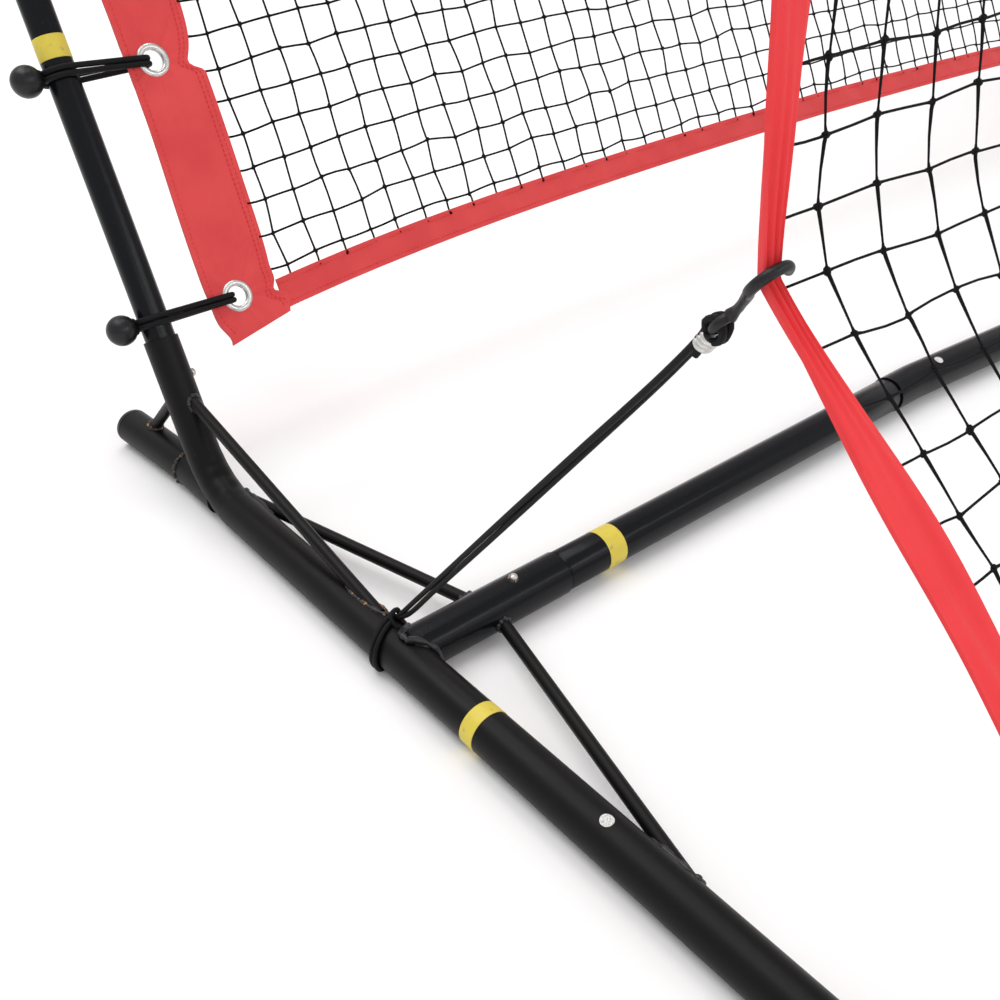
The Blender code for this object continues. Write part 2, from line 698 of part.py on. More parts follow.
def hooks():
    """A plastic hook round each strap, and the cord from it that is tied round the floor tube."""
    for side in (-1, 1):
        label = side_name(side)
        inwards = Vector((-side, 0, 0))
        strap = Vector(front_point(STRAP_OUT_X, HOOK_SHARE))
        strap = place(STRAP_OUT_X + 0.003, strap.y - CROSS_Y, strap.z, side)
        knot = place(0.008, 0.0185, FLOOR_R + 0.0170, side)
        down = (knot - strap).normalized()
        normal = inwards.cross(down).normalized()
        across = down.cross(normal).normalized()
        if across.dot(inwards) < 0:
            across = -across
        eye = strap + down * 0.036
        path = [eye - down * 0.0066, strap + down * 0.015 - across * 0.002]
        for i in range(9):
            angle = math.radians(-40 - 215 * i / 8)
            path.append(strap + down * 0.009 * math.cos(angle) + across * 0.009 * math.sin(angle))
        hook = rod("strap_hook_" + label, path, [HOOK_BAR_R] * len(path), black_plastic(), normal, 8)
        link = [(eye + down * 0.0074 * math.cos(a) + across * 0.0074 * math.sin(a))
                for a in (2 * math.pi * i / 14 for i in range(14))]
        sections = []
        for point in link:
            out = (point - eye).normalized()
            sections.append([point + out * HOOK_BAR_R * 0.8 * a + normal * HOOK_BAR_R * 0.8 * b
                             for a, b in ((-1, -1), (1, -1), (1, 1), (-1, 1))])
        combine(hook, loop("eye", link, sections, black_plastic()), "UNION")

        bight = eye + down * 0.0078
        link = [(bight + down * 0.0078 * math.cos(a) + normal * 0.0078 * math.sin(a))
                for a in (2 * math.pi * i / 14 for i in range(14))]
        sections = []
        for point in link:
            out = (point - bight).normalized()
            sections.append([point + out * 0.0032 * a + across * 0.0032 * b
                             for a, b in ((-1, -1), (1, -1), (1, 1), (-1, 1))])
        cord = rod("hook_cord_" + label, [bight + down * 0.0085, knot], [HOOK_CORD_R] * 2, black_cord(), normal, 8)
        combine(cord, loop("bight", link, sections, black_cord()), "UNION")
        inner = FLOOR_R + SLACK + 0.0001
        outer = inner + WRAP_D
        wrap = []
        for i in range(17):
            angle = math.radians(-46 + 272 * i / 16)
            middle = 0.0120 + 0.0155 * math.cos(angle)
            for y, r in ((-WRAP_D, inner), (WRAP_D, inner), (WRAP_D, outer), (-WRAP_D, outer)):
                wrap.append(place(r * math.cos(angle), middle + y, FLOOR_R + r * math.sin(angle), side))
        faces = skin(17, 4, False)
        faces.append((0, 1, 2, 3))
        faces.append((64, 65, 66, 67))
        combine(cord, make_object("wrap", wrap, faces, black_cord()), "UNION")


def main():
    clear_scene()
    for side in (-1, 1):
        base_side(side)
    cross_members()
    front_bar()
    uprights_and_top()
    buttons()
    back_net()
    front_net()
    ball_bungees()
    hooks()


main()
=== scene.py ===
import math
import bpy
import numpy as np
from mathutils import Euler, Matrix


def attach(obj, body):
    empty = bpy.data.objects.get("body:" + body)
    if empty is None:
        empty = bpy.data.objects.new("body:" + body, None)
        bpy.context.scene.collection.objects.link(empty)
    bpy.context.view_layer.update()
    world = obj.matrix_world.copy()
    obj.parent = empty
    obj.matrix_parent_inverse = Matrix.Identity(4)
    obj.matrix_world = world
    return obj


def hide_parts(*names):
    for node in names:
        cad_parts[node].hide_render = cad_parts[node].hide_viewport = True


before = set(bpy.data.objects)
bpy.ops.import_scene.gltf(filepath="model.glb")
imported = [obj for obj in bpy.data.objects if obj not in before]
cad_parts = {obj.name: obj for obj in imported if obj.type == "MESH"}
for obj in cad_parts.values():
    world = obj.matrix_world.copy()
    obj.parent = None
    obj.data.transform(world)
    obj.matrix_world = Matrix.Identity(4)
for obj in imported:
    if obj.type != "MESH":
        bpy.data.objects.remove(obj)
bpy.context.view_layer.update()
print("frame loaded:", len(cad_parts), "nodes")

# Metres throughout. "along" runs up an upright or an arm, "inwards" runs in from a floor tube.
rig = {
    "halfWidth": 0.900, "crossY": 0.020, "crossZ": 0.0178,
    "floorRadius": 0.016, "stubRadius": 0.0145, "uprightRadius": 0.0127,
    "socketRadius": 0.0175, "crossRadius": 0.0165, "crossEndRadius": 0.0152, "frontBarRadius": 0.0142,
    "wall": 0.0015, "socketWall": 0.0020, "insert": 0.070, "centreInsert": 0.036, "slack": 0.0003,
    "frontY": -0.6185, "frontCorner": 0.060, "frontMouth": 0.130,
    "uprightY": 0.2692, "lean": math.radians(28), "footBend": 0.065, "stubTop": 0.135,
    "kinkY": 0.317, "footY": 0.412, "splay": math.radians(4.5),
    "elbow": 0.720, "elbowRadius": 0.120, "elbowJoint": 0.578,
    "topY": -0.111, "topZ": 1.450, "topCorner": 0.060,
    "stubX": 0.145, "centreX": 0.581, "centreStraight": 0.040, "centreBow": math.radians(4.2),
    "grommetX": 0.077, "uprightBalls": (0.150, 0.350, 0.550), "armBalls": (0.230, 0.480, 0.730),
    "netTopMargin": 0.060,
}
sides = {"left": -1, "right": 1}
dice = np.random.default_rng(28)


# vectors divided by their lengths
def unit(v):
    return v / np.maximum(np.linalg.norm(v, axis=-1, keepdims=True), 1e-12)


# three coordinates, spread to one shape
def xyz(x, y, z):
    return np.stack(np.broadcast_arrays(np.asarray(x, float), y, z), -1)


# a point by its distance in from a floor tube and back from the cross tube
def place(inwards, y, z, side):
    return xyz(side * (rig["halfWidth"] - np.asarray(inwards, float)), rig["crossY"] + y, z)


# a point on the upright's line: foot + along times the lean's direction + out square to it, towards the
# player
def onUpright(inwards, along, side, out=0.0):
    s, c = math.sin(rig["lean"]), math.cos(rig["lean"])
    return place(inwards, rig["uprightY"] + along * s - out * c,
                 rig["floorRadius"] + along * c + out * s, side)


elbowY = rig["uprightY"] + rig["elbow"] * math.sin(rig["lean"])
elbowZ = rig["floorRadius"] + rig["elbow"] * math.cos(rig["lean"])
armLength = math.hypot(rig["topY"] - elbowY, rig["topZ"] - elbowZ)
armY, armZ = (rig["topY"] - elbowY) / armLength, (rig["topZ"] - elbowZ) / armLength
elbowTurn = rig["lean"] + math.atan2(-armY, armZ)
elbowTangent = rig["elbowRadius"] * math.tan(elbowTurn / 2)
bendStart = rig["elbow"] - elbowTangent
bendLength = rig["elbowRadius"] * elbowTurn
railTop = bendStart + bendLength + armLength - elbowTangent - rig["netTopMargin"]


# the same for the arm, counted from the elbow's corner
def onArm(inwards, along, side, out=0.0):
    return place(inwards, elbowY + along * armY - out * armZ, elbowZ + along * armZ + out * armY, side)


# back net's plane: straight up the upright, round the elbow's circle, straight up the arm
def rail(x, s, out=0.0):
    x, s = np.broadcast_arrays(np.asarray(x, float), np.asarray(s, float))
    lean = rig["lean"] - np.clip((s - bendStart) / rig["elbowRadius"], 0, elbowTurn)
    low = np.minimum(s, bendStart)
    foot = onUpright(x, low, -1)
    high = np.maximum(s - bendStart - bendLength, 0)
    r = rig["elbowRadius"]
    y = foot[..., 1] + r * (np.cos(lean) - math.cos(rig["lean"])) + high * armY
    z = foot[..., 2] - r * (np.sin(lean) - math.sin(rig["lean"])) + high * armZ
    normal = xyz(0 * x, -np.cos(lean), np.sin(lean))
    return xyz(x - rig["halfWidth"], y, z) + normal * np.asarray(out)[..., None], normal


# points round a bend of this radius that joins two straight runs
def bend(before, corner, after, radius, steps):
    before, corner, after = (np.asarray(p, float) for p in (before, corner, after))
    towards, away = unit(before - corner), unit(after - corner)
    half = math.acos(float(np.clip(towards @ away, -1, 1))) / 2
    centre = corner + unit(towards + away) * radius / math.sin(half)
    start = corner + towards * radius / math.tan(half) - centre
    turn = np.linspace(0, math.pi - 2 * half, steps + 1)[:, None]
    return centre + start * np.cos(turn) - towards * radius * np.sin(turn)


# a path through these points with even steps, straight between them
def evenly(points, step):
    points = np.asarray(points, float)
    reach = np.concatenate([[0], np.cumsum(np.linalg.norm(np.diff(points, axis=0), axis=1))])
    stops = np.linspace(0, reach[-1], max(int(reach[-1] / step), 2) + 1)
    return np.stack([np.interp(stops, reach, points[:, k]) for k in range(3)], -1)


# a smooth path through these points: each stretch is a Catmull-Rom cubic
def smoothly(points, per=8):
    p = np.asarray(points, float)
    p = np.concatenate([[2 * p[0] - p[1]], p, [2 * p[-1] - p[-2]]])
    a, b, c, d = (p[i:len(p) - 3 + i, None] for i in range(4))
    t = (np.arange(per) / per)[None, :, None]
    curve = 0.5 * (2 * b + (c - a) * t + (2 * a - 5 * b + 4 * c - d) * t**2
                   + (3 * b - a - 3 * c + d) * t**3)
    return np.concatenate([curve.reshape(-1, 3), p[-2:-1]])


# rings round a path: point + radius (cos a up + sin a across), with up kept square to the path
def rings(path, radius, up, turns=24, closed=False, flat=1.0):
    path = np.asarray(path, float)
    if closed:
        ahead, behind = np.roll(path, -1, -2), np.roll(path, 1, -2)
    else:
        ahead = np.concatenate([path[..., 1:, :], path[..., -1:, :]], -2)
        behind = np.concatenate([path[..., :1, :], path[..., :-1, :]], -2)
    tangent = unit(ahead - behind)
    up = np.broadcast_to(np.asarray(up, float), path.shape)
    up = unit(up - tangent * np.sum(up * tangent, -1, keepdims=True))
    across = np.cross(tangent, up)
    a = np.arange(turns) * 2 * math.pi / turns
    radius = np.asarray(radius, float)
    if radius.ndim < path.ndim:
        radius = np.broadcast_to(radius, path.shape[:-1])[..., None]
    way = up[..., None, :] * (np.cos(a) * flat)[:, None] + across[..., None, :] * np.sin(a)[:, None]
    return path[..., None, :] + way * radius[..., None]


# one surface: quads over a grid of points, with fans over its ends, and metric UVs
def patch(grid, around=True, along=False):
    rows, cols = grid.shape[-3:-1]
    grid = grid.reshape(-1, rows, cols, 3)
    ids = np.arange(grid.shape[0] * rows * cols).reshape(-1, rows, cols)
    wide, tall = grid, grid
    if around:
        ids = np.concatenate([ids, ids[:, :, :1]], 2)
        wide = np.concatenate([grid, grid[:, :, :1]], 2)
    if along:
        ids = np.concatenate([ids, ids[:, :1]], 1)
        tall = np.concatenate([grid, grid[:, :1]], 1)
    u = np.cumsum(np.linalg.norm(np.diff(wide, axis=2), axis=3).mean(1), 1)
    v = np.cumsum(np.linalg.norm(np.diff(tall, axis=1), axis=3).mean(2), 1)
    u = np.concatenate([0 * u[:, :1], u], 1)[:, None, :]
    v = np.concatenate([0 * v[:, :1], v], 1)[:, :, None]
    uv = np.stack(np.broadcast_arrays(u, v), -1)
    block = [(slice(None, -1), slice(None, -1)), (slice(None, -1), slice(1, None)),
             (slice(1, None), slice(1, None)), (slice(1, None), slice(None, -1))]
    quads = np.stack([ids[:, r, c] for r, c in block], -1).reshape(-1, 4)
    quadUv = np.stack([uv[:, r, c] for r, c in block], -2).reshape(-1, 4, 2)
    points = grid.reshape(-1, 3)
    tris, triUv = np.zeros((0, 3), int), np.zeros((0, 3, 2))
    if around and not along:
        count = len(points)
        batch = np.arange(len(grid))[:, None]
        for row, shift in ((0, 0), (-1, len(grid))):
            a, b = ids[:, row, :-1], ids[:, row, 1:]
            hub = count + shift + batch + 0 * a
            fan = np.stack([b, a, hub] if row == 0 else [a, b, hub], -1).reshape(-1, 3)
            tris = np.concatenate([tris, fan])
            points = np.concatenate([points, grid[:, row].mean(1)])
        triUv = np.zeros((len(tris), 3, 2))
    corners = np.concatenate([quads[:, [0, 1, 2]], quads[:, [0, 2, 3]], tris])
    a, b, c = (points[corners[:, i]] - points.mean(0) for i in range(3))
    if np.sum(a * np.cross(b, c)) < 0:
        quads, quadUv, tris, triUv = quads[:, ::-1], quadUv[:, ::-1], tris[:, ::-1], triUv[:, ::-1]
    return points, quads, tris, quadUv, triUv


# one mesh object from closed surfaces, in a finish, riding on a body
def makePiece(name, patches, finish, body="frame", creaseAngle=40, replaces=()):
    material, slot = look[finish]
    points, faces, uvs, base = [], [], [], 0
    for p, quads, tris, quadUv, triUv in patches:
        points.append(p)
        faces += (quads + base).tolist() + (tris + base).tolist()
        uvs += [quadUv.reshape(-1, 2), triUv.reshape(-1, 2)]
        base += len(p)
    mesh = bpy.data.meshes.new(name)
    mesh.from_pydata(np.concatenate(points), [], faces)
    mesh.uv_layers.new(name="UVMap").data.foreach_set("uv", np.concatenate(uvs).ravel())
    mesh.shade_smooth()
    mesh.set_sharp_from_angle(angle=math.radians(creaseAngle))
    mesh.materials.append(material)
    piece = bpy.data.objects.new(name, mesh)
    bpy.context.scene.collection.objects.link(piece)
    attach(piece, body)
    if replaces:
        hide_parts(*replaces)
    return piece


# the camera stands outside the left floor tube and looks down across the corner
cameraSetup = {"place": (-1.23201, -0.47284, 0.55994), "turn": (55.2787, -0.2988, -40.1426),
               "lens": 40.763}


# camera from its setup
def addCamera():
    data = bpy.data.cameras.new("camera")
    data.lens = cameraSetup["lens"]
    data.sensor_width = 36
    data.clip_start = 0.02
    camera = bpy.data.objects.new("camera", data)
    camera.location = cameraSetup["place"]
    camera.rotation_euler = Euler([math.radians(a) for a in cameraSetup["turn"]])
    bpy.context.scene.collection.objects.link(camera)
    bpy.context.scene.camera = camera


addCamera()


# a material with these values on its main shader
def newMaterial(name, colour, roughness, metallic=0.0, **extra):
    material = bpy.data.materials.new(name)
    material.use_nodes = True
    shader = material.node_tree.nodes["Principled BSDF"]
    shader.inputs["Base Color"].default_value = (*colour, 1)
    shader.inputs["Roughness"].default_value = roughness
    shader.inputs["Metallic"].default_value = metallic
    for socket, value in extra.items():
        shader.inputs[socket.replace("_", " ")].default_value = value
    return material


# one shader node: socket values, settings and links by name
def addNode(material, kind, links=None, **values):
    node = material.node_tree.nodes.new("ShaderNode" + kind)
    for key, value in values.items():
        if key in node.inputs:
            node.inputs[key].default_value = value
        else:
            setattr(node, key, value)
    for key, source in (links or {}).items():
        material.node_tree.links.new(source, node.inputs[key])
    return node


# link a value to a socket of the main shader
def feed(material, socket, source):
    shader = material.node_tree.nodes["Principled BSDF"]
    material.node_tree.links.new(source, shader.inputs[socket])


# a noise on Object coordinates, brought through a ramp from one colour to another
def noiseRamp(material, scale, stops, detail=4.0, coordinates="Object", stretch=(1, 1, 1)):
    place = addNode(material, "TexCoord").outputs[coordinates]
    mapped = addNode(material, "Mapping", {"Vector": place}, Scale=stretch)
    noise = addNode(material, "TexNoise", {"Vector": mapped.outputs[0]}, Scale=scale, Detail=detail)
    ramp = addNode(material, "ValToRGB", {"Fac": noise.outputs["Fac"]})
    while len(ramp.color_ramp.elements) < len(stops):
        ramp.color_ramp.elements.new(0.5)
    for element, (at, colour) in zip(ramp.color_ramp.elements, stops):
        element.position = at
        element.color = (*colour, 1) if len(colour) == 3 else colour
    return ramp.outputs["Color"], noise.outputs["Fac"]


# bump from a height, on top of another bump if there is one
def bumpFrom(material, height, strength, distance, before=None):
    links = {"Height": height}
    if before is not None:
        links["Normal"] = before
    return addNode(material, "Bump", links, Strength=strength, Distance=distance).outputs["Normal"]


# powder coat: fine orange peel, patchy gloss, pale dust specks
def powderCoat(name, colour, dusty, low, high):
    material = newMaterial(name, colour, (low + high) / 2, 0.0, Specular_IOR_Level=0.17)
    grey, _ = noiseRamp(material, 260, ((0.0, colour), (0.66, colour), (0.80, dusty)), 8)
    feed(material, "Base Color", grey)
    gloss, _ = noiseRamp(material, 9, ((0.3, (low,) * 3), (0.7, (high,) * 3)), 6)
    feed(material, "Roughness", gloss)
    _, peel = noiseRamp(material, 1500, ((0, (0, 0, 0)), (1, (1, 1, 1))), 3)
    _, waves = noiseRamp(material, 120, ((0, (0, 0, 0)), (1, (1, 1, 1))), 2)
    first = bumpFrom(material, peel, 0.10, 0.0004)
    feed(material, "Normal", bumpFrom(material, waves, 0.05, 0.002, first))
    return material


# cloth: two crossing waves along the UVs for warp and weft, broad colour drift, soft creases, and
# painted shade that darkens the base colour where the weave sinks
def wovenCloth(name, deep, bright, pitch):
    material = newMaterial(name, deep, 0.62, 0.0, Sheen_Weight=0.05, Sheen_Roughness=0.4,
                           Specular_IOR_Level=0.25)
    colour, drift = noiseRamp(material, 22, ((0.25, deep), (0.75, bright)), 6)
    uv = addNode(material, "TexCoord").outputs["UV"]
    warp = addNode(material, "TexWave", {"Vector": uv}, bands_direction="X", Scale=1 / pitch / 3.1,
                   Distortion=0.4)
    weft = addNode(material, "TexWave", {"Vector": uv}, bands_direction="Y", Scale=1 / pitch / 3.1,
                   Distortion=0.4)
    weave = addNode(material, "Math", {0: warp.outputs["Fac"], 1: weft.outputs["Fac"]},
                    operation="MULTIPLY")
    # painted shade: where the warp and weft waves are low, the base colour is mixed towards a darker
    # copy of itself
    shade = addNode(material, "MixRGB", {"Fac": weave.outputs[0], "Color2": colour}, blend_type="MIX")
    weaveShadeColour = addNode(material, "HueSaturation", {"Color": colour}, Value=0.86)
    material.node_tree.links.new(weaveShadeColour.outputs[0], shade.inputs["Color1"])
    feed(material, "Base Color", shade.outputs[0])
    _, creases = noiseRamp(material, 60, ((0, (0, 0, 0)), (1, (1, 1, 1))), 3, stretch=(1, 1, 0.4))
    first = bumpFrom(material, weave.outputs[0], 0.25, 0.0002)
    feed(material, "Normal", bumpFrom(material, creases, 0.16, 0.004, first))
    return material


# braid: diagonal waves both ways round the cord, on its UVs; the same waves paint shade into the
# grooves and a highlight onto the ridges of the base colour
def braided(name, colour, pitch, roughness, strength):
    material = newMaterial(name, colour, roughness, 0.0, Specular_IOR_Level=0.15)
    uv = addNode(material, "TexCoord").outputs["UV"]
    heights = []
    for turn in (0.9, -0.9):
        mapped = addNode(material, "Mapping", {"Vector": uv}, Rotation=(0, 0, turn))
        wave = addNode(material, "TexWave", {"Vector": mapped.outputs[0]}, Scale=1 / pitch / 3.1)
        heights.append(wave.outputs["Fac"])
    weave = addNode(material, "Math", {0: heights[0], 1: heights[1]}, operation="MAXIMUM")
    # painted shade and highlight: the base colour runs from 0.4 times the colour in the braid's grooves
    # to 1.5 times on its ridges
    braidShadeAndHighlight = addNode(material, "ValToRGB", {"Fac": weave.outputs[0]})
    braidShadeAndHighlight.color_ramp.elements[0].color = (*(0.4 * c for c in colour), 1)
    braidShadeAndHighlight.color_ramp.elements[1].color = (*(1.5 * c for c in colour), 1)
    feed(material, "Base Color", braidShadeAndHighlight.outputs["Color"])
    feed(material, "Normal", bumpFrom(material, weave.outputs[0], strength, 0.0004))
    return material


# moulded plastic: a fine grain under a soft sheen
def moulded(name, colour, roughness):
    material = newMaterial(name, colour, roughness, 0.0, Specular_IOR_Level=0.3)
    rough, _ = noiseRamp(material, 40, ((0.3, (roughness - 0.07,) * 3), (0.7, (roughness + 0.10,) * 3)),
                         5)
    feed(material, "Roughness", rough)
    tone, grain = noiseRamp(material, 900,
                            ((0.35, tuple(0.7 * c for c in colour)),
                             (0.7, tuple(1.4 * c for c in colour))), 4)
    feed(material, "Base Color", tone)
    feed(material, "Normal", bumpFrom(material, grain, 0.12, 0.0003))
    return material


# plated steel: fine scratches, and rust where the noise is high
def plated(name, rustAt, roughness):
    bright, rust = (0.70, 0.70, 0.69), (0.20, 0.075, 0.025)
    material = newMaterial(name, bright, roughness, 1.0)
    tone, _ = noiseRamp(material, 420, ((0.0, bright), (rustAt, (0.55, 0.54, 0.52)),
                                        (min(rustAt + 0.08, 1.0), rust)), 7)
    feed(material, "Base Color", tone)
    rough, _ = noiseRamp(material, 300,
                         ((0.3, (roughness - 0.08,) * 3), (0.75, (roughness + 0.25,) * 3)), 6)
    feed(material, "Roughness", rough)
    _, scratch = noiseRamp(material, 700, ((0, (0, 0, 0)), (1, (1, 1, 1))), 4, stretch=(1, 0.1, 1))
    feed(material, "Normal", bumpFrom(material, scratch, 0.10, 0.0002))
    return material


# tape: stretched vinyl with rubbed grey patches and fine lines round the tube
def tape(name):
    yellow, worn = (0.72, 0.58, 0.05), (0.34, 0.30, 0.10)
    material = newMaterial(name, yellow, 0.42)
    tone, _ = noiseRamp(material, 190, ((0.0, yellow), (0.60, (0.66, 0.53, 0.06)), (0.78, worn)), 8)
    feed(material, "Base Color", tone)
    _, lines = noiseRamp(material, 1400, ((0, (0, 0, 0)), (1, (1, 1, 1))), 3, "UV", (0.05, 1, 1))
    feed(material, "Normal", bumpFrom(material, lines, 0.15, 0.0002))
    return material


# weld bead and the paint round it, with rust showing through in spots
def weldPaint(name, rustAt):
    dark, rust = (0.010, 0.010, 0.012), (0.42, 0.17, 0.035)
    material = newMaterial(name, dark, 0.38)
    tone, _ = noiseRamp(material, 330, ((0.0, dark), (rustAt, dark), (min(rustAt + 0.06, 1.0), rust)),
                        6)
    feed(material, "Base Color", tone)
    _, lumps = noiseRamp(material, 500, ((0, (0, 0, 0)), (1, (1, 1, 1))), 3)
    feed(material, "Normal", bumpFrom(material, lumps, 0.35, 0.0008))
    return material


# each finish and the slot it belongs to
look = {
    "floor paint": (powderCoat("floor paint", (0.0032, 0.0030, 0.0031), (0.016, 0.014, 0.013), 0.36,
                               0.50), "black_steel"),
    "tube paint": (powderCoat("tube paint", (0.0040, 0.0046, 0.0062), (0.012, 0.013, 0.016), 0.16,
                              0.26), "black_steel"),
    "red cloth": (wovenCloth("red cloth", (0.74, 0.060, 0.064), (0.84, 0.082, 0.083), 0.0006),
                  "red_cloth"),
    "strap cloth": (wovenCloth("strap cloth", (0.84, 0.040, 0.048), (0.92, 0.056, 0.062), 0.0006),
                    "red_cloth"),
    "thread": (braided("red thread", (0.60, 0.040, 0.045), 0.0006, 0.7, 0.3), "red_cloth"),
    "twine": (braided("net twine", (0.0035, 0.0035, 0.0045), 0.0012, 0.75, 0.5), "black_net"),
    "elastic": (braided("elastic cord", (0.0045, 0.0045, 0.0052), 0.0011, 0.55, 0.45), "black_cord"),
    "ball": (moulded("ball plastic", (0.0090, 0.0095, 0.0110), 0.30), "black_cord"),
    "plastic": (moulded("hook plastic", (0.0100, 0.0100, 0.0115), 0.36), "black_plastic"),
    "plated": (plated("plated steel", 0.93, 0.26), "bright_steel"),
    "button": (plated("button steel", 0.56, 0.30), "bright_steel"),
    "tape": (tape("yellow tape"), "black_steel"),
    "weld": (weldPaint("weld paint", 0.72), "black_steel"),
    "rusty weld": (weldPaint("rusty weld", 0.585), "black_steel"),
    "label": (moulded("paper label", (0.62, 0.62, 0.60), 0.55), "black_steel"),
}
print("finishes made:", len(look))


# hook cords: one length each, doubled from the hook's clip down to a hitch round the floor tube
hookCord = {"radius": 0.00185, "hitchRadius": 0.0183, "clipDrop": 0.0115, "eyeDrop": 0.0315,
            "gap": 0.0019, "bight": 0.0075}
strapOut, strapWidth, strapNeck, neckLength = 0.006, 0.024, 0.009, 0.050
pullFade = 0.45
netFoot, netHead, hookAt, hookShare = (-0.6020, 0.0345), (-0.1130, 1.4270), (-0.2500, 0.3820), 0.319


# share of the hooks' full pull at each height of a strap: straight up to the hook, straight down to the
# top
def strapPull(share):
    return np.minimum(share / hookShare, (1 - share) / (1 - hookShare))


# a point of the front net for a given pull: on the flat sheet, moved towards the hook
def pulledPoint(x, share, pull):
    y = netFoot[0] + (netHead[0] - netFoot[0]) * share
    z = netFoot[1] + (netHead[1] - netFoot[1]) * share
    y = y + (hookAt[0] - netFoot[0] - (netHead[0] - netFoot[0]) * hookShare) * pull
    z = z + (hookAt[1] - netFoot[1] - (netHead[1] - netFoot[1]) * hookShare) * pull
    return place(x, y, z, -1)


# front net: the straps' kinked pull split into sines, each fading towards the middle as cosh does
def frontSurface(x, share):
    x, share = np.broadcast_arrays(np.asarray(x, float), np.asarray(share, float))
    n = np.arange(1, 161)
    kink = 2 * np.sin(n * math.pi * hookShare) / (n**2 * math.pi**2 * hookShare * (1 - hookShare))
    half = rig["halfWidth"] - strapOut
    away = np.minimum(np.abs(rig["halfWidth"] - x), half)[..., None]
    near, far = 1 + np.exp(-2 * pullFade * n * away), 1 + np.exp(-2 * pullFade * n * half)
    fade = np.exp(pullFade * n * (away - half)) * near / far
    return pulledPoint(x, share, np.sum(kink * np.sin(n * math.pi * share[..., None]) * fade, -1))


# its normal: across times up, from small steps either way
def frontNormal(x, share):
    x, share = np.broadcast_arrays(np.asarray(x, float), np.asarray(share, float))
    step = 0.002
    across = frontSurface(x + step, share) - frontSurface(x - step, share)
    up = frontSurface(x, np.minimum(share + step, 1)) - frontSurface(x, np.maximum(share - step, 0))
    return unit(np.cross(across, up))


# the hook's own directions: down its cord, inwards across the strap, and square to both
def hookFrame(side):
    strap = pulledPoint(strapOut, hookShare, 1.0)
    strap = place(strapOut + 0.003, strap[1] - rig["crossY"], strap[2], side)
    knot = place(0.008, 0.0185, rig["floorRadius"] + 0.017, side)
    down = unit(knot - strap)
    inwards = np.array((-side, 0.0, 0.0))
    normal = unit(np.cross(inwards, down))
    across = np.cross(down, normal)
    across = across * np.sign(across @ inwards)
    return strap, knot, down, across, normal, inwards


# half of a hook cord: tail, clip, round the eye, one strand down, then once round the floor tube to the
# bight
def cordHalf(side, hand):
    strap, knot, down, across, normal, inwards = hookFrame(side)
    eye = strap + down * hookCord["eyeDrop"]
    normal = -normal
    gap = hookCord["gap"]
    clip = eye + down * hookCord["clipDrop"]
    spread = unit(np.cross(down, inwards))
    points = [clip + down * 0.008 + across * 0.0035 * hand + normal * 0.003,
              clip + across * 0.0026 * hand + normal * 0.0022,
              eye + down * 0.0055 + across * 0.0012 * hand + normal * 0.0052,
              eye + across * 0.0022 * hand + normal * 0.0030,
              eye - down * 0.0012 + across * 0.0021 * hand,
              eye + across * 0.0022 * hand - normal * 0.0030,
              eye + down * 0.0055 + across * 0.0020 * hand - normal * 0.0048,
              clip + across * 0.0021 * hand - normal * 0.0016]
    for share in (0.10, 0.30, 0.55, 0.80, 0.95):
        turn = 0.5 * math.pi * min(share / 0.75, 1)
        offset = across * math.cos(turn) * hand + spread * math.sin(turn) * hand
        points.append(clip * (1 - share) + knot * share + offset * 0.00187)
    angle = np.radians(np.linspace(62, 392, 19))
    middle = 0.0200 + 0.0075 * np.cos(angle)
    low = (rig["floorRadius"] - 0.0021) / np.maximum(-np.sin(angle), 1e-3)
    radius = np.minimum(hookCord["hitchRadius"], low)
    wrap = place(radius * np.cos(angle), middle + gap * 1.12 * hand,
                 rig["floorRadius"] + radius * np.sin(angle), side)
    points += list(wrap)
    crown = knot - down * 0.001
    points.append(crown + spread * hookCord["bight"] * hand * 0.95 + inwards * 0.0040 + down * 0.001)
    points.append(crown + spread * hookCord["bight"] * hand * 0.62 - inwards * 0.0036)
    return points


# both halves joined into one smooth path, with an even step
def hookCords():
    for label, side in sides.items():
        first, second = cordHalf(side, 1), cordHalf(side, -1)
        path = smoothly(np.array(first + second[::-1]), 6)
        path = evenly(path, 0.0016)
        tube = rings(path, hookCord["radius"], carriedUp(path), 12)
        piece = makePiece("hookCord_" + label, [patch(tube)],
                          "elastic", replaces=("hook_cord_" + label,))


# an up direction carried along a path without twist, one step after another
def carriedUp(path):
    tangent = unit(np.gradient(path, axis=0))
    up = np.cross(tangent[0], (0.31, 0.52, 0.79))
    ups = []
    for t in tangent:
        up = up - t * (up @ t)
        up = up / np.linalg.norm(up)
        ups.append(up)
    return np.array(ups)


hookCords()


# tubes: sides of a ring, bevel at a mouth, round bars, and the wrinkles inside the rear bend
tubeLook = {"sides": 56, "mouthBevel": 0.0004, "barRadius": 0.0050,
            "wrinkleDepth": 0.0011, "wrinklePitch": 0.0135, "wrinkleReach": 0.030}


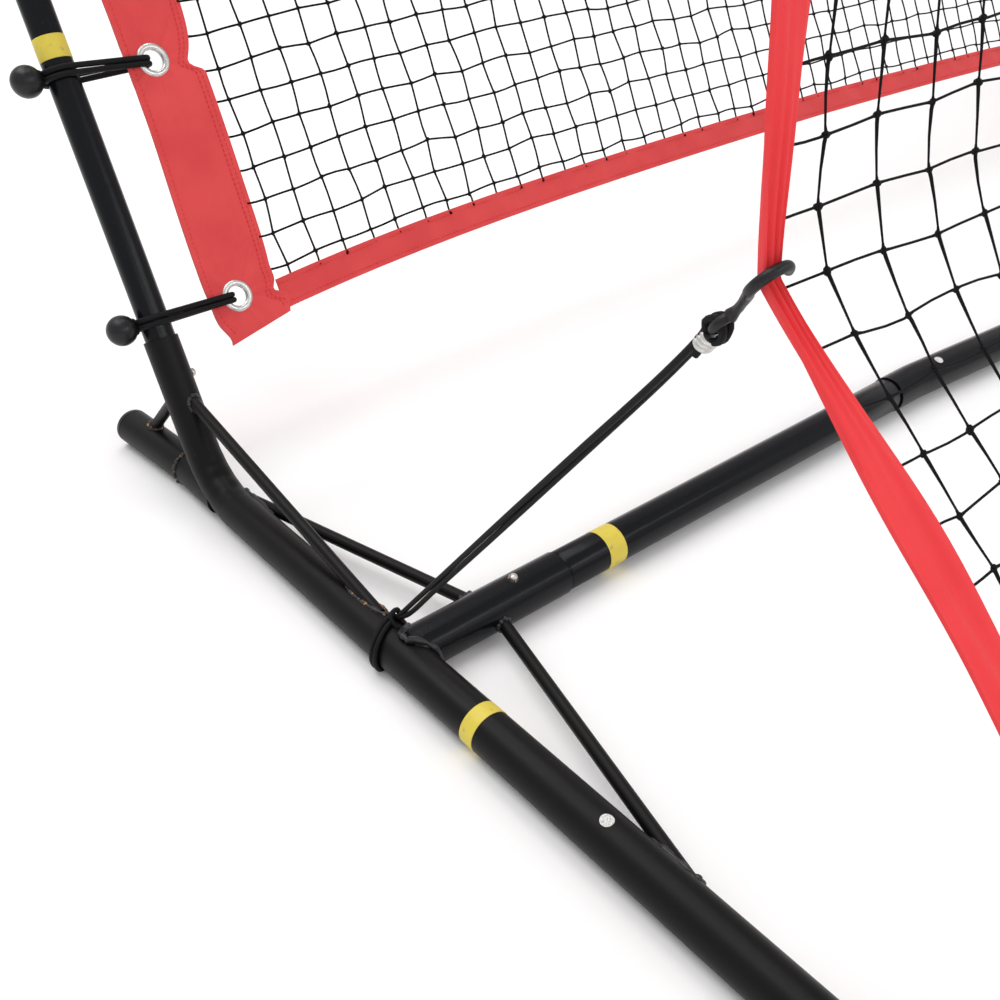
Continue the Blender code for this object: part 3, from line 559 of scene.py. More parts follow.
# rings for one hollow tube: outside, a small bevel at each mouth, then the bore down to a closed end
def tubeGrid(path, radius, up, wall=rig["wall"], depths=(0.030, 0.030)):
    path = np.asarray(path, float)
    radius = np.broadcast_to(np.asarray(radius, float), (len(path),))
    outside = rings(path, radius, up, tubeLook["sides"])
    bevel = tubeLook["mouthBevel"]

    # an end's rings, from the outer rim to the bore's closed end
    def mouth(end, rim, r, inwardStep, depth):
        way = (rim - end) / r
        step = unit(inwardStep)
        return np.array([end + way * (r - bevel), end + way * (r - wall),
                         end + way * (r - wall) + step * depth])

    first = mouth(path[0], outside[0], radius[0], path[1] - path[0], depths[0])[::-1]
    last = mouth(path[-1], outside[-1], radius[-1], path[-2] - path[-1], depths[1])
    outside[0] += unit(path[1] - path[0]) * bevel
    outside[-1] += unit(path[-2] - path[-1]) * bevel
    return np.concatenate([first, outside, last])


# a straight run between two points, evenly divided
def straight(a, b, count=12):
    share = np.linspace(0, 1, count)[:, None]
    return np.asarray(a, float) * (1 - share) + np.asarray(b, float) * share


weldShape = {"bead": 0.0021, "socketBead": 0.0026, "rustyBead": 0.0017, "footBead": 0.0024,
             "ringBead": 0.0015}


# weld bead where a bar runs into a tube: for each turn of the bar, walk its side line until it meets
# the tube's circle, then lay a lumpy ring of beads along that curve
def weldBead(start, end, barRadius, axisPoint, axisWay, tubeRadius, bead, seed):
    start, end, axisPoint = (np.asarray(v, float) for v in (start, end, axisPoint))
    axisWay, way = unit(np.asarray(axisWay, float)), unit(end - start)
    up = unit(np.cross(way, axisWay) + 1e-9)
    across = np.cross(way, up)
    a = np.linspace(0, 2 * math.pi, 57)[:-1, None]
    line = start + (up * np.cos(a) + across * np.sin(a)) * barRadius
    d = way - axisWay * (way @ axisWay)
    m = line - axisPoint
    m = m - axisWay * (m @ axisWay)[:, None]
    qa, qb, qc = d @ d, 2 * (m @ d), np.sum(m * m, 1) - tubeRadius**2
    root = np.sqrt(np.maximum(qb**2 - 4 * qa * qc, 0))
    hit = line + way * ((-qb - root) / (2 * qa))[:, None]
    lumpy = np.random.default_rng(seed)
    phase = lumpy.uniform(0, 6.28)
    size = bead * (1 + 0.22 * np.sin(9 * a[:, 0] + phase) + 0.12 * lumpy.standard_normal(len(a)))
    return patch(rings(hit, size, unit(hit - start - way * ((hit - start) @ way)[:, None]), 9,
                       closed=True), along=True)


# floor tube: mouth of the front bar, front corner, straight run, rear bend, upright's socket; the
# radius falls evenly round the rear bend
def floorPath(side):
    mouth = place(rig["frontMouth"], rig["frontY"], rig["floorRadius"], side)
    front = place(0, rig["frontY"], rig["floorRadius"], side)
    foot, top = onUpright(0, 0, side), onUpright(0, rig["stubTop"], side)
    corner = bend(mouth, front, foot, rig["frontCorner"], 20)
    rise = bend(front, foot, top, rig["footBend"], 26)
    run = np.concatenate([straight(mouth, corner[0], 6)[:-1], corner,
                          straight(corner[-1], rise[0], 60)[1:-1],
                          rise, straight(rise[-1], top, 12)[1:]])
    radius = np.full(len(run), rig["floorRadius"])
    radius[-len(rise) - 11:-11] = np.linspace(rig["floorRadius"], rig["stubRadius"], len(rise))
    radius[-11:] = rig["stubRadius"]
    return run, radius


# compressive wrinkles: the bend's inner side is pressed in by a few cosine waves
def wrinkleBend(grid, path, side):
    foot = onUpright(0, 0, side)
    tail = place(0, rig["uprightY"] - 1, rig["floorRadius"], side)
    along = (grid - foot) @ unit(onUpright(0, 1, side) - tail)
    facing = np.array((0.0, -math.cos(rig["lean"]) - 0.4, math.sin(rig["lean"]) + 0.6))
    inside = unit(grid - path[:, None, :]) @ unit(facing)
    waves = 0.5 + 0.5 * np.cos(along * 2 * math.pi / tubeLook["wrinklePitch"])
    dent = np.maximum(inside, 0)**2 * np.exp(-(along / tubeLook["wrinkleReach"])**2) * waves
    return grid - unit(grid - path[:, None, :]) * (tubeLook["wrinkleDepth"] * dent)[..., None]


# rear foot: straight on from the floor tube, then splayed outwards past the kink
def footPath(side):
    kink = place(0, rig["kinkY"], rig["floorRadius"], side)
    end = place(-(rig["footY"] - rig["kinkY"]) * math.tan(rig["splay"]), rig["footY"],
                rig["floorRadius"], side)
    return place(0, rig["uprightY"] - 0.012, rig["floorRadius"], side), kink, end


# the four round bars of one side, from end to end
def barRuns(side):
    return {
        "uprightBrace": (onUpright(0.003, 0.080, side, 0.010), place(0.006, 0.038, 0.027, side)),
        "rearBrace": (place(0.006, 0.262, 0.020, side), place(0.070, 0.008, 0.022, side)),
        "footBrace": (place(-0.002, 0.384, 0.024, side), onUpright(0.0, 0.088, side, -0.006)),
        "frontBrace": (place(0.078, -0.012, 0.015, side), place(0.008, -0.270, 0.020, side)),
    }


# every bead of one side; two of them and the ring at the foot's kink have rusted
def welds(label, side):
    floorAxis, floorWay = place(0, 0, rig["floorRadius"], side), (0, 1, 0)
    stubAxis, stubWay = onUpright(0, 0, side), onUpright(0, 1, side) - onUpright(0, 0, side)
    crossAxis, crossWay = place(0, 0, rig["crossZ"], side), (1, 0, 0)
    kink, tip = footPath(side)[1:]
    runs = barRuns(side)
    bar, fr, sr, cr = tubeLook["barRadius"], rig["floorRadius"], rig["stubRadius"], rig["socketRadius"]
    bead = weldShape["bead"]

    def middle(name):
        return (np.array(runs[name][0]) + np.array(runs[name][1])) / 2

    clean = [
        weldBead(middle("uprightBrace"), runs["uprightBrace"][0], bar, stubAxis, stubWay, sr, bead, 1),
        weldBead(middle("rearBrace"), runs["rearBrace"][1], bar, crossAxis, crossWay, cr, bead, 3),
        weldBead(middle("rearBrace"), runs["rearBrace"][0], bar, floorAxis, floorWay, fr, bead, 4),
        weldBead(middle("footBrace"), runs["footBrace"][1], bar, stubAxis, stubWay, sr, bead, 5),
        weldBead(middle("frontBrace"), runs["frontBrace"][0], bar, crossAxis, crossWay, cr, bead, 6),
        weldBead(middle("frontBrace"), runs["frontBrace"][1], bar, floorAxis, floorWay, fr, bead, 7),
        weldBead(place(0.1, 0, rig["crossZ"], side), place(0, 0, rig["crossZ"], side), cr * 0.97,
                 floorAxis, floorWay,
                 fr + 0.0022, weldShape["socketBead"], 8),
    ]
    rusty = [
        weldBead(middle("uprightBrace"), runs["uprightBrace"][1], bar, floorAxis, floorWay, fr,
                 weldShape["rustyBead"], 2),
        weldBead(middle("footBrace"), runs["footBrace"][0], bar, kink, tip - kink, fr,
                 weldShape["footBead"], 9),
    ]
    ring = np.linspace(0, 2 * math.pi, 73)[:-1, None]
    upWay, sideWay = np.array((0, 0, 1.0)), np.array((1.0, 0, 0))
    rim = kink + (upWay * np.cos(ring) + sideWay * np.sin(ring)) * (fr + 0.0002)
    lumps = weldShape["ringBead"] * (1 + 0.3 * np.sin(14 * ring[:, 0])
                                     + 0.15 * np.random.default_rng(11).standard_normal(72))
    rusty.append(patch(rings(rim, lumps, unit(rim - kink), 8, closed=True), along=True))
    makePiece("welds_" + label, clean, "weld")
    makePiece("rustyWelds_" + label, rusty, "rusty weld")


# one welded side of the base
def baseSide(label, side):
    path, radius = floorPath(side)
    grid = tubeGrid(path, radius, (0, 0.01, 1), depths=(0.068, 0.074))
    body = grid[3:-3]
    grid[3:-3] = wrinkleBend(body, path, side)
    makePiece("floorTube_" + label, [patch(grid)], "floor paint", replaces=("floor_tube_" + label,))
    root, kink, tip = footPath(side)
    foot = np.concatenate([straight(root, kink, 8)[:-1], straight(kink, tip, 14)])
    makePiece("rearFoot_" + label,
              [patch(tubeGrid(foot, rig["floorRadius"], (0, 0, 1), depths=(0.001, 0.012)))],
              "floor paint", replaces=("rear_foot_" + label,))
    out = unit(tip - kink)
    plug = [(-0.012, 0.0142), (0.0003, 0.0142), (0.0003, 0.0154), (0.0007, 0.0160), (0.0040, 0.0160),
            (0.0047, 0.0156),
            (0.0050, 0.0148), (0.0050, 0.0100)]
    makePiece("rearCap_" + label, [patch(turned(tip, out, plug))], "plastic",
              replaces=("rear_cap_" + label,))
    socket = straight(place(0.003, 0, rig["crossZ"], side), place(rig["stubX"], 0, rig["crossZ"], side),
                      14)
    makePiece("crossSocket_" + label,
              [patch(tubeGrid(socket, rig["socketRadius"], (0, 0, 1), wall=rig["socketWall"],
                              depths=(0.001, 0.072)))],
              "tube paint", replaces=("cross_socket_" + label,))
    for bar, node in (("uprightBrace", "upright_brace_"), ("rearBrace", "rear_brace_"),
                      ("footBrace", "foot_brace_"), ("frontBrace", "front_brace_")):
        start, end = barRuns(side)[bar]
        makePiece(bar + "_" + label,
                  [patch(rings(straight(start, end, 10), tubeLook["barRadius"], (0.3, 0.2, 1), 28))],
                  "floor paint", replaces=(node + label,))
    welds(label, side)


# a solid of revolution: (distance along, radius) pairs carried round an axis
def turned(centre, way, profile, turns=48, up=(0.02, 0.03, 1)):
    way = unit(np.asarray(way, float))
    up = np.asarray(up, float)
    up = unit(up - way * (up @ way))
    across = np.cross(way, up)
    a = np.arange(turns) * 2 * math.pi / turns
    circle = up * np.cos(a)[:, None] + across * np.sin(a)[:, None]
    at, r = np.asarray(profile, float).T
    return np.asarray(centre, float) + way * at[:, None, None] + circle * r[:, None, None]


# cross tubes with reduced ends, and the bowed centre tube over them
def crossTubes():
    sr, cr, insert = rig["crossEndRadius"], rig["crossRadius"], rig["insert"]
    for label, side in sides.items():
        stub, centre = rig["stubX"], rig["centreX"]
        stops = [(stub - insert, sr), (stub + 0.0012, sr), (stub + 0.0022, cr - 0.0005),
                 (stub + 0.0034, cr), (0.22, cr), (0.36, cr), (0.50, cr), (centre - 0.0034, cr),
                 (centre - 0.0022, cr - 0.0005), (centre - 0.0012, sr),
                 (centre + rig["centreInsert"], sr)]
        path = np.array([place(x, 0, rig["crossZ"], side) for x, _ in stops])
        makePiece("crossTube_" + label, [patch(tubeGrid(path, [r for _, r in stops], (0, 0, 1)))],
                  "tube paint", replaces=("cross_tube_" + label,))
    bendX = rig["centreX"] + rig["centreStraight"]
    depth = (rig["halfWidth"] - bendX) * math.tan(rig["centreBow"])
    middle = place(rig["halfWidth"], -depth, rig["crossZ"], -1)
    mouths = [place(rig["centreX"], 0, rig["crossZ"], s) for s in (-1, 1)]
    bends = [place(bendX, 0, rig["crossZ"], s) for s in (-1, 1)]
    first, hump = bend(mouths[0], bends[0], middle, 0.25, 6), bend(bends[0], middle, bends[1], 0.50, 10)
    third = bend(middle, bends[1], mouths[1], 0.25, 6)
    path = np.concatenate([straight(mouths[0], first[0], 5)[:-1], first,
                           straight(first[-1], hump[0], 8)[1:-1], hump,
                           straight(hump[-1], third[0], 8)[1:-1], third,
                           straight(third[-1], mouths[1], 5)[1:]])
    makePiece("crossTubeCentre",
              [patch(tubeGrid(path, rig["socketRadius"], (0, 0, 1), wall=rig["socketWall"],
                                                 depths=(0.037, 0.037)))],
              "tube paint", replaces=("cross_tube_centre",))


# front bar: the right half's end is reduced and goes into the left half
def frontBars():
    y, z = rig["frontY"], rig["floorRadius"]
    left = straight(place(0.070, y, z, -1), place(0.900, y, z, -1), 20)
    right = np.concatenate([straight(place(0.070, y, z, 1), place(0.8985, y, z, 1), 20),
                            [place(0.8992, y, z, 1), place(0.8996, y, z, 1), place(0.970, y, z, 1)]])
    spigot = rig["frontBarRadius"] - rig["wall"] - rig["slack"]
    radius = np.array([rig["frontBarRadius"]] * 20 + [0.0136, spigot, spigot])
    makePiece("frontBar_left",
              [patch(tubeGrid(left, rig["frontBarRadius"], (0, 0, 1), depths=(0.02, 0.072)))],
              "tube paint", replaces=("front_bar_left",))
    makePiece("frontBar_right", [patch(tubeGrid(right, radius, (0, 0, 1)))], "tube paint",
              replaces=("front_bar_right",))


# lower uprights, and the top frames: elbow circle, arm, top corner circle, half of the top bar
def uprights():
    r = rig["uprightRadius"]
    for label, side in sides.items():
        swage = r - rig["wall"] - rig["slack"]
        stops = [0.065, 0.2, 0.35, 0.5, rig["elbowJoint"] - 0.0022, rig["elbowJoint"] - 0.0012,
                 rig["elbowJoint"] + 0.03]
        path = np.array([onUpright(0, t, side) for t in stops])
        makePiece("upright_" + label, [patch(tubeGrid(path, [r, r, r, r, r, swage, swage], (1, 0, 0)))],
                  "tube paint", replaces=("upright_" + label,))
        start = onUpright(0, rig["elbowJoint"] + rig["slack"], side)
        elbow = onUpright(0, rig["elbow"], side)
        corner = place(0, rig["topY"], rig["topZ"], side)
        middle = place(rig["halfWidth"], rig["topY"], rig["topZ"], side)
        lowBend = bend(start, elbow, corner, rig["elbowRadius"], 30)
        highBend = bend(elbow, corner, middle, rig["topCorner"], 22)
        path = np.concatenate([straight(start, lowBend[0], 4)[:-1], lowBend,
                               straight(lowBend[-1], highBend[0], 24)[1:-1],
                               highBend])
        radius = [r] * len(path)
        if side < 0:
            path = np.concatenate([path, straight(highBend[-1], middle, 20)[1:]])
            radius = [r] * len(path)
        else:
            seam = place(rig["halfWidth"] - 0.001, rig["topY"], rig["topZ"], side)
            tail = [place(rig["halfWidth"] + d, rig["topY"], rig["topZ"], side)
                    for d in (-0.0005, 0.070)]
            path = np.concatenate([path, straight(highBend[-1], seam, 20)[1:], tail])
            radius = [r] * (len(path) - 2) + [swage, swage]
        ends = (0.031, 0.072) if side < 0 else (0.031, 0.02)
        makePiece("topFrame_" + label, [patch(tubeGrid(path, radius, (1, 0.05, 0), depths=ends))],
                  "tube paint", replaces=("top_frame_" + label,))


for label, side in sides.items():
    baseSide(label, side)
crossTubes()
frontBars()
uprights()
print("steel frame done")


# snap buttons, each moving with its own joint
buttonShape = {"radius": 0.0035, "out": 0.0038, "flange": 0.0044, "flangeThickness": 0.0016,
               "rim": 0.0007}


# each button: flange inside the tube, straight stem, rounded head; and a rusty rim to its hole
def snapButtons():
    r, out = buttonShape["radius"], buttonShape["out"]
    bore = rig["uprightRadius"] - 2 * rig["wall"] - rig["slack"]
    crossBore = rig["crossEndRadius"] - rig["wall"]
    up, back = np.array((0, 0, 1.0)), np.array((0, 1.0, 0))
    for label, side in sides.items():
        inwards = np.array((-side, 0.0, 0.0))
        spots = {"upright_button_": (onUpright(0, 0.101, side), inwards, rig["stubRadius"], bore),
                 "elbow_button_": (onUpright(0, rig["elbowJoint"] + 0.018, side), inwards,
                                   rig["uprightRadius"], bore),
                 "cross_button_": (place(0.100, 0, rig["crossZ"], side), up, rig["socketRadius"],
                                   crossBore),
                 "centre_button_": (place(rig["centreX"] + 0.020, 0, rig["crossZ"], side), back,
                                    rig["socketRadius"], crossBore)}
        for node, (centre, way, socket, inner) in spots.items():
            flange = inner - buttonShape["flangeThickness"]
            dome = np.linspace(0, math.pi / 2 * 0.93, 9)
            profile = [(flange - buttonShape["flangeThickness"], buttonShape["flange"]),
                       (flange, buttonShape["flange"]),
                       (flange, r), (socket + out * 0.35, r)]
            profile += [(socket + out * (0.35 + 0.65 * math.sin(a)), r * math.cos(a) ** 0.8)
                        for a in dome[1:]]
            head = turned(centre, way, profile, 32, (0.2, 0.5, 0.8))
            makePiece("snap" + node.replace("_", " ").title().replace(" ", "") + "_" + label,
                      [patch(head)], "button",
                      body=node + label, replaces=(node + label,))
            rim = turned(centre, way, [(socket - 0.0006, r + 0.0002)], 40, (0.2, 0.5, 0.8))[0]
            makePiece("holeRim_" + node + label,
                      [patch(rings(rim, buttonShape["rim"], unit(rim - centre), 8, closed=True),
                             along=True)],
                      "rusty weld")


snapButtons()


# red cloth: half thickness, stitches, wrinkles round the grommets, band height, sleeve radii
cloth = {"half": 0.0010, "stitchRadius": 0.00042, "stitchLength": 0.0030, "stitchPitch": 0.0041,
         "wrinkle": 0.0016, "wrinkleReach": 0.024, "bandHeight": 0.0265,
         "topSleeveRadius": 0.0146, "footSleeveRadius": 0.0155}
sleeveShape = {"inner": 0.1185, "pinch": 0.0125, "pinchBelow": 0.0085, "pinchAbove": 0.017,
               "lowTab": 0.0055,
               "outer": 0.0535, "outerWave": 0.0022, "outerPull": 0.0018, "tip": 0.006, "slant": 0.0150}
grommet = {"hole": 0.0095, "middle": 0.01115, "bar": 0.0027}
sleeveInX, sleeveLow = 0.121, 0.118
lowBand, bandRise, bandRiseLength = 0.128, 0.029, 0.250
grommetAt = np.array([*rig["uprightBalls"],
                      *[bendStart + bendLength - elbowTangent + t for t in rig["armBalls"]]])


# lower edge of the bottom band: it climbs away from each corner and flattens out
def bandLow(x):
    near = np.minimum(x, 2 * rig["halfWidth"] - x) - sleeveInX
    return lowBand + bandRise * (1 - np.exp(-near / bandRiseLength))


# inner edge of a sleeve: full width, pinched in just above each grommet, with a square step below the
# pinch
def sleeveInner(s):
    s = np.asarray(s, float)[..., None]
    rise = s - (grommetAt - 0.0035)
    dip = np.where(rise < 0, np.exp(-(rise / sleeveShape["pinchBelow"]) ** 4),
                   np.exp(-np.abs(rise) / sleeveShape["pinchAbove"]))
    low = np.exp(-((s[..., 0] - 0.140) / 0.022) ** 4)
    return sleeveShape["inner"] - sleeveShape["pinch"] * np.max(dip, -1) + sleeveShape["lowTab"] * low


# outer edge of a sleeve: nearly straight, drawn out a little at each grommet, turned in at the low tip
def sleeveOuter(s):
    s = np.asarray(s, float)[..., None]
    pulled = np.sum(np.exp(-((s - grommetAt) / 0.05) ** 2), -1)
    tip = np.exp(-((s[..., 0] - sleeveLow) / 0.010) ** 2)
    wave = sleeveShape["outerWave"] * np.sin(s[..., 0] * 23)
    return sleeveShape["outer"] + wave - sleeveShape["outerPull"] * pulled + sleeveShape["tip"] * tip


# height of the cloth off its plane: wrinkles fan out from every grommet and fade with distance
def sleeveHeight(x, s):
    height = 0.0012 * np.sin(s * 31 + x * 40) * np.clip((x - 0.050) / 0.03, 0, 1)
    for i, at in enumerate(grommetAt):
        dx, ds = x - rig["grommetX"], s - at
        r, angle = np.hypot(dx, ds), np.arctan2(ds, dx)
        fan = 0.6 * np.cos(11 * angle + i) + 0.4 * np.cos(17 * angle + 2 * i)
        ring = np.clip((r - 0.010) / 0.008, 0, 1)
        height = height + cloth["wrinkle"] * fan * ring * np.exp(-(r / cloth["wrinkleReach"]) ** 1.5)
    return height


# mirror left to right
def mirrored(points, side):
    return points * np.array((-side, 1, 1)) if side > 0 else points


# a closed sheet from a grid of centres and normals
def clothPatch(centres, normals, half):
    half = np.broadcast_to(np.asarray(half, float), centres.shape[:2])[..., None]
    loop = np.concatenate([centres + normals * half, (centres - normals * half)[:, ::-1]], 1)
    return patch(loop)


# stitches: short capsules one after another along a line lying on the cloth
def stitchRow(points, normals):
    reach = np.concatenate([[0], np.cumsum(np.linalg.norm(np.diff(points, axis=0), axis=1))])
    starts = np.arange(0, reach[-1] - cloth["stitchLength"], cloth["stitchPitch"])
    t = np.array((0.0, 0.2, 0.5, 0.8, 1.0))
    at = starts[:, None] + t * cloth["stitchLength"]
    lift = np.array((-0.0002, 0.0003, 0.00055, 0.0003, -0.0002))
    path = np.stack([np.interp(at, reach, points[:, k]) for k in range(3)], -1)
    up = unit(np.stack([np.interp(at, reach, normals[:, k]) for k in range(3)], -1))
    path = path + up * lift[:, None]
    radius = cloth["stitchRadius"] * np.array((0.5, 0.95, 1.0, 0.95, 0.5))
    return patch(rings(path, np.broadcast_to(radius, path.shape[:2]), up, 5))


# round holes through a piece, cut by rods along the normals
def cutHoles(piece, centres, normals, radius):
    rod = [(-0.02, radius), (0.02, radius)]
    cutters = [patch(turned(c, n, rod, 40, (1, 0.1, 0.1))) for c, n in zip(centres, normals)]
    mesh = makePiece("holeCutter", cutters, "thread")
    change = piece.modifiers.new("holes", "BOOLEAN")
    change.object, change.solver, change.operation = mesh, "EXACT", "DIFFERENCE"
    bpy.context.view_layer.update()
    cut = bpy.data.meshes.new_from_object(piece.evaluated_get(bpy.context.evaluated_depsgraph_get()))
    piece.modifiers.clear()
    old, piece.data = piece.data, cut
    bpy.data.meshes.remove(old)
    cutterMesh = mesh.data
    bpy.data.objects.remove(mesh)
    bpy.data.meshes.remove(cutterMesh)


# side sleeves of the back net, with their stitches and grommet rings
def backSleeves():
    s = np.linspace(sleeveLow - 0.004, railTop, 560)
    share = np.linspace(0, 1, 34)
    for label, side in sides.items():
        outer, inner = sleeveOuter(s)[:, None], sleeveInner(s)[:, None]
        x = outer * (1 - share) + inner * share
        slant = np.clip(1 - (s[:, None] - s[0]) / 0.045, 0, 1)
        rows = s[:, None] + slant * (sleeveShape["slant"] * np.clip((x - 0.058) / 0.068, 0, 1.1)
                                     - 0.003)
        lift = sleeveHeight(x, rows)
        points, normals = rail(x, rows, lift)
        hem = cloth["half"] * (1 + 0.55 * (np.minimum(share, 1 - share) < 0.09) * np.ones_like(x))
        sleeve = makePiece("backSleeve_" + label,
                           [clothPatch(mirrored(points, side), mirrored(normals, side), hem)],
                           "red cloth", creaseAngle=60, replaces=("back_sleeve_" + label,))
        centres, facing = rail(np.full(6, rig["grommetX"]), grommetAt)
        cutHoles(sleeve, mirrored(centres, side), mirrored(facing, side), grommet["hole"])
        rowsOut = []
        for along, drop, low in ((outer[:, 0], 0.0045, 0.118), (inner[:, 0], -0.0045, 0.131),
                                 (inner[:, 0], -0.0085, 0.131)):
            line, t = (along + drop)[s > low], s[s > low]
            p, n = rail(line, t, sleeveHeight(line, t) + cloth["half"] * 1.02)
            rowsOut.append(stitchRow(mirrored(p, side), mirrored(n, side)))
        makePiece("sleeveStitches_" + label, rowsOut, "thread")
        ringsOut = []
        for centre, way in zip(mirrored(centres, side), mirrored(facing, side)):
            a = np.linspace(0, 2 * math.pi, 13)[:-1]
            profile = [(0.0014 + 0.0017 * math.sin(t), grommet["middle"] + grommet["bar"] * math.cos(t))
                       for t in a]
            under = [(-0.0014 + 0.0012 * math.sin(t), grommet["middle"] + 0.0026 * math.cos(t))
                     for t in a]
            for shape in (profile, under):
                grid = turned(centre, way, shape, 48, (1, 0.1, 0.1))
                ringsOut.append(patch(grid.transpose(1, 0, 2), along=True))
        makePiece("grommets_" + label, ringsOut, "plated")


# bands along the back net's lower and upper edges
def bands():
    width = 2 * rig["halfWidth"]
    x = np.linspace(sleeveInX - 0.004, width - sleeveInX + 0.004, 420)
    share = np.linspace(0, 1, 12)[:, None]
    for name, node, low in (("bottomBand", "back_band_bottom", bandLow(x)),
                            ("topBand", "back_band_top",
                             np.full_like(x, railTop - cloth["bandHeight"]))):
        s = low + share * cloth["bandHeight"]
        wide = np.broadcast_to(x, s.shape)
        lift = 0.0008 * np.sin(wide * 55) + 0.0006 * np.sin(wide * 131 + share * 3)
        points, normals = rail(wide, s, lift)
        hem = cloth["half"] * (1 + 0.5 * (np.minimum(share, 1 - share) < 0.12) * np.ones_like(s))
        band = makePiece(name,
                         [clothPatch(points.transpose(1, 0, 2), normals.transpose(1, 0, 2), hem.T)],
                         "red cloth", creaseAngle=60, replaces=(node,))
        lines = []
        for drop in (0.0045, cloth["bandHeight"] - 0.0045):
            p, n = rail(x, low + drop, 0.0008 * np.sin(x * 55) + 0.0006 * np.sin(x * 131 + drop)
                        + cloth["half"])
            lines.append(stitchRow(p, n))
        makePiece(name + "Stitches", lines, "thread")


netShape = {"backColumns": 51, "backRows": 54, "backStart": 0.1325, "backJitter": 0.0012,
            "backKnot": 0.00185,
            "backTwine": np.array((0.00125, 0.00105, 0.00100, 0.00105)),
            "frontCount": 58, "frontStart": 0.0465, "frontJitter": 0.0010, "frontKnot": 0.00160,
            "frontUp": np.array((0.00090, 0.00050, 0.00060, 0.00085)),
            "frontAcross": np.array((0.00095, 0.00062, 0.00060, 0.00062)), "drawnIn": 0.0125}


# net from a grid of knots: strands that sag a little between neighbours, then a lump on every knot
def netPieces(name, nodes, normals, node, columnRadius, rowRadius, knot, ends):
    def strands(grid, radii, sag):
        share = np.array((0, 0.12, 0.5, 0.88))
        a, b = grid[:, :-1, None], grid[:, 1:, None]
        drop = dice.normal(0, sag, a.shape) * np.array((0, 0.6, 1, 0.6))[:, None]
        path = (a * (1 - share[:, None]) + b * share[:, None] + drop).reshape(len(grid), -1, 3)
        path = np.concatenate([path, grid[:, -1:]], 1)
        r = np.concatenate([np.tile(radii, grid.shape[1] - 1), radii[:1]])
        return rings(path, np.broadcast_to(r, path.shape[:2]), (0.9, 0.3, 0.31), 5)

    makePiece(name + "Columns", [patch(strands(nodes.transpose(1, 0, 2), columnRadius, 0.0004))],
              "twine", creaseAngle=180, replaces=(node,))
    makePiece(name + "Rows", [patch(strands(ends, rowRadius, 0.0005))], "twine", creaseAngle=180)
    inner = nodes.reshape(-1, 1, 3)
    facing = normals.reshape(-1, 1, 3)
    turn = dice.uniform(0, 6.28, (len(inner), 1, 1))
    way = unit(np.cos(turn) * np.array((0.7, 0.2, 0.7)) + np.sin(turn) * np.array((0.7, -0.5, -0.5)))
    size = knot * dice.uniform(0.85, 1.15, (len(inner), 1, 1))
    lump = inner + way * size * np.array((-1.25, -0.75, 0.0, 0.75, 1.25))[None, :, None]
    fat = np.broadcast_to(np.array((0.25, 0.82, 1.0, 0.82, 0.25)), lump.shape[:2]) * size[:, :, 0]
    makePiece(name + "Knots", [patch(rings(lump, fat, facing, 5))], "twine", creaseAngle=180)


# back net: rows share out the height between the bands, column by column. Front net: knots on its
# surface, drawn outwards where the hook gathers the strap
def nets():
    width = 2 * rig["halfWidth"]
    columns, rowCount, jitter = netShape["backColumns"], netShape["backRows"], netShape["backJitter"]
    x = np.linspace(netShape["backStart"], width - netShape["backStart"], columns)
    v = np.linspace(0.006, 0.994, rowCount)[:, None]
    low, high = bandLow(x) + cloth["bandHeight"], railTop - cloth["bandHeight"]
    s = low + v * (high - low) + dice.normal(0, jitter, (rowCount, columns))
    across = x + dice.normal(0, jitter, (rowCount, columns))
    nodes, normals = rail(across, s, dice.normal(0, 0.0004, s.shape))
    edges = [rail(np.full(rowCount, e), s[:, i], 0.0)[0][:, None]
             for e, i in ((sleeveInX - 0.006, 0), (width - sleeveInX + 0.006, -1))]
    toes = [rail(across[i], np.full(columns, 0) + (low - 0.003 if i == 0 else high + 0.003), 0.0)[0]
            for i in (0, -1)]
    full = np.concatenate([toes[0][None], nodes, toes[1][None]])
    fullNormals = np.concatenate([normals[:1], normals, normals[-1:]])
    netPieces("backNet", full, fullNormals, "back_net", netShape["backTwine"], netShape["backTwine"],
              netShape["backKnot"],
              np.concatenate([edges[0], nodes, edges[1]], 1))

    count, start = netShape["frontCount"], netShape["frontStart"]
    x = np.linspace(start, width - start, count)
    share = np.linspace(0, 1, count)[:, None]
    gather = np.exp(-((share - hookShare) / 0.075) ** 2)
    drawn = netShape["drawnIn"] * gather * (np.exp(-(x - x[0]) / 0.16) - np.exp(-(x[-1] - x) / 0.16))
    across = x - drawn + dice.normal(0, netShape["frontJitter"], (count, count))
    loose = (share > 0) * (share < 1)
    shares = np.broadcast_to(share, across.shape) + dice.normal(0, 0.0007, across.shape) * loose
    nodes, normals = frontSurface(across, shares), frontNormal(across, shares)
    edge = pulledPoint(np.full(count, strapOut), share[:, 0], strapPull(share[:, 0]))
    necked = np.exp(-((share[:, 0] - hookShare) / neckLength) ** 2)
    reach = (strapOut + strapWidth - 0.003) * (1 - necked) + 0.012 * necked
    left = edge.copy()
    left[:, 0] = reach - rig["halfWidth"]
    right = left * np.array((-1, 1, 1))
    netPieces("frontNet", nodes, normals, "front_net", netShape["frontUp"], netShape["frontAcross"],
              netShape["frontKnot"],
              np.concatenate([left[:, None], nodes, right[:, None]], 1))


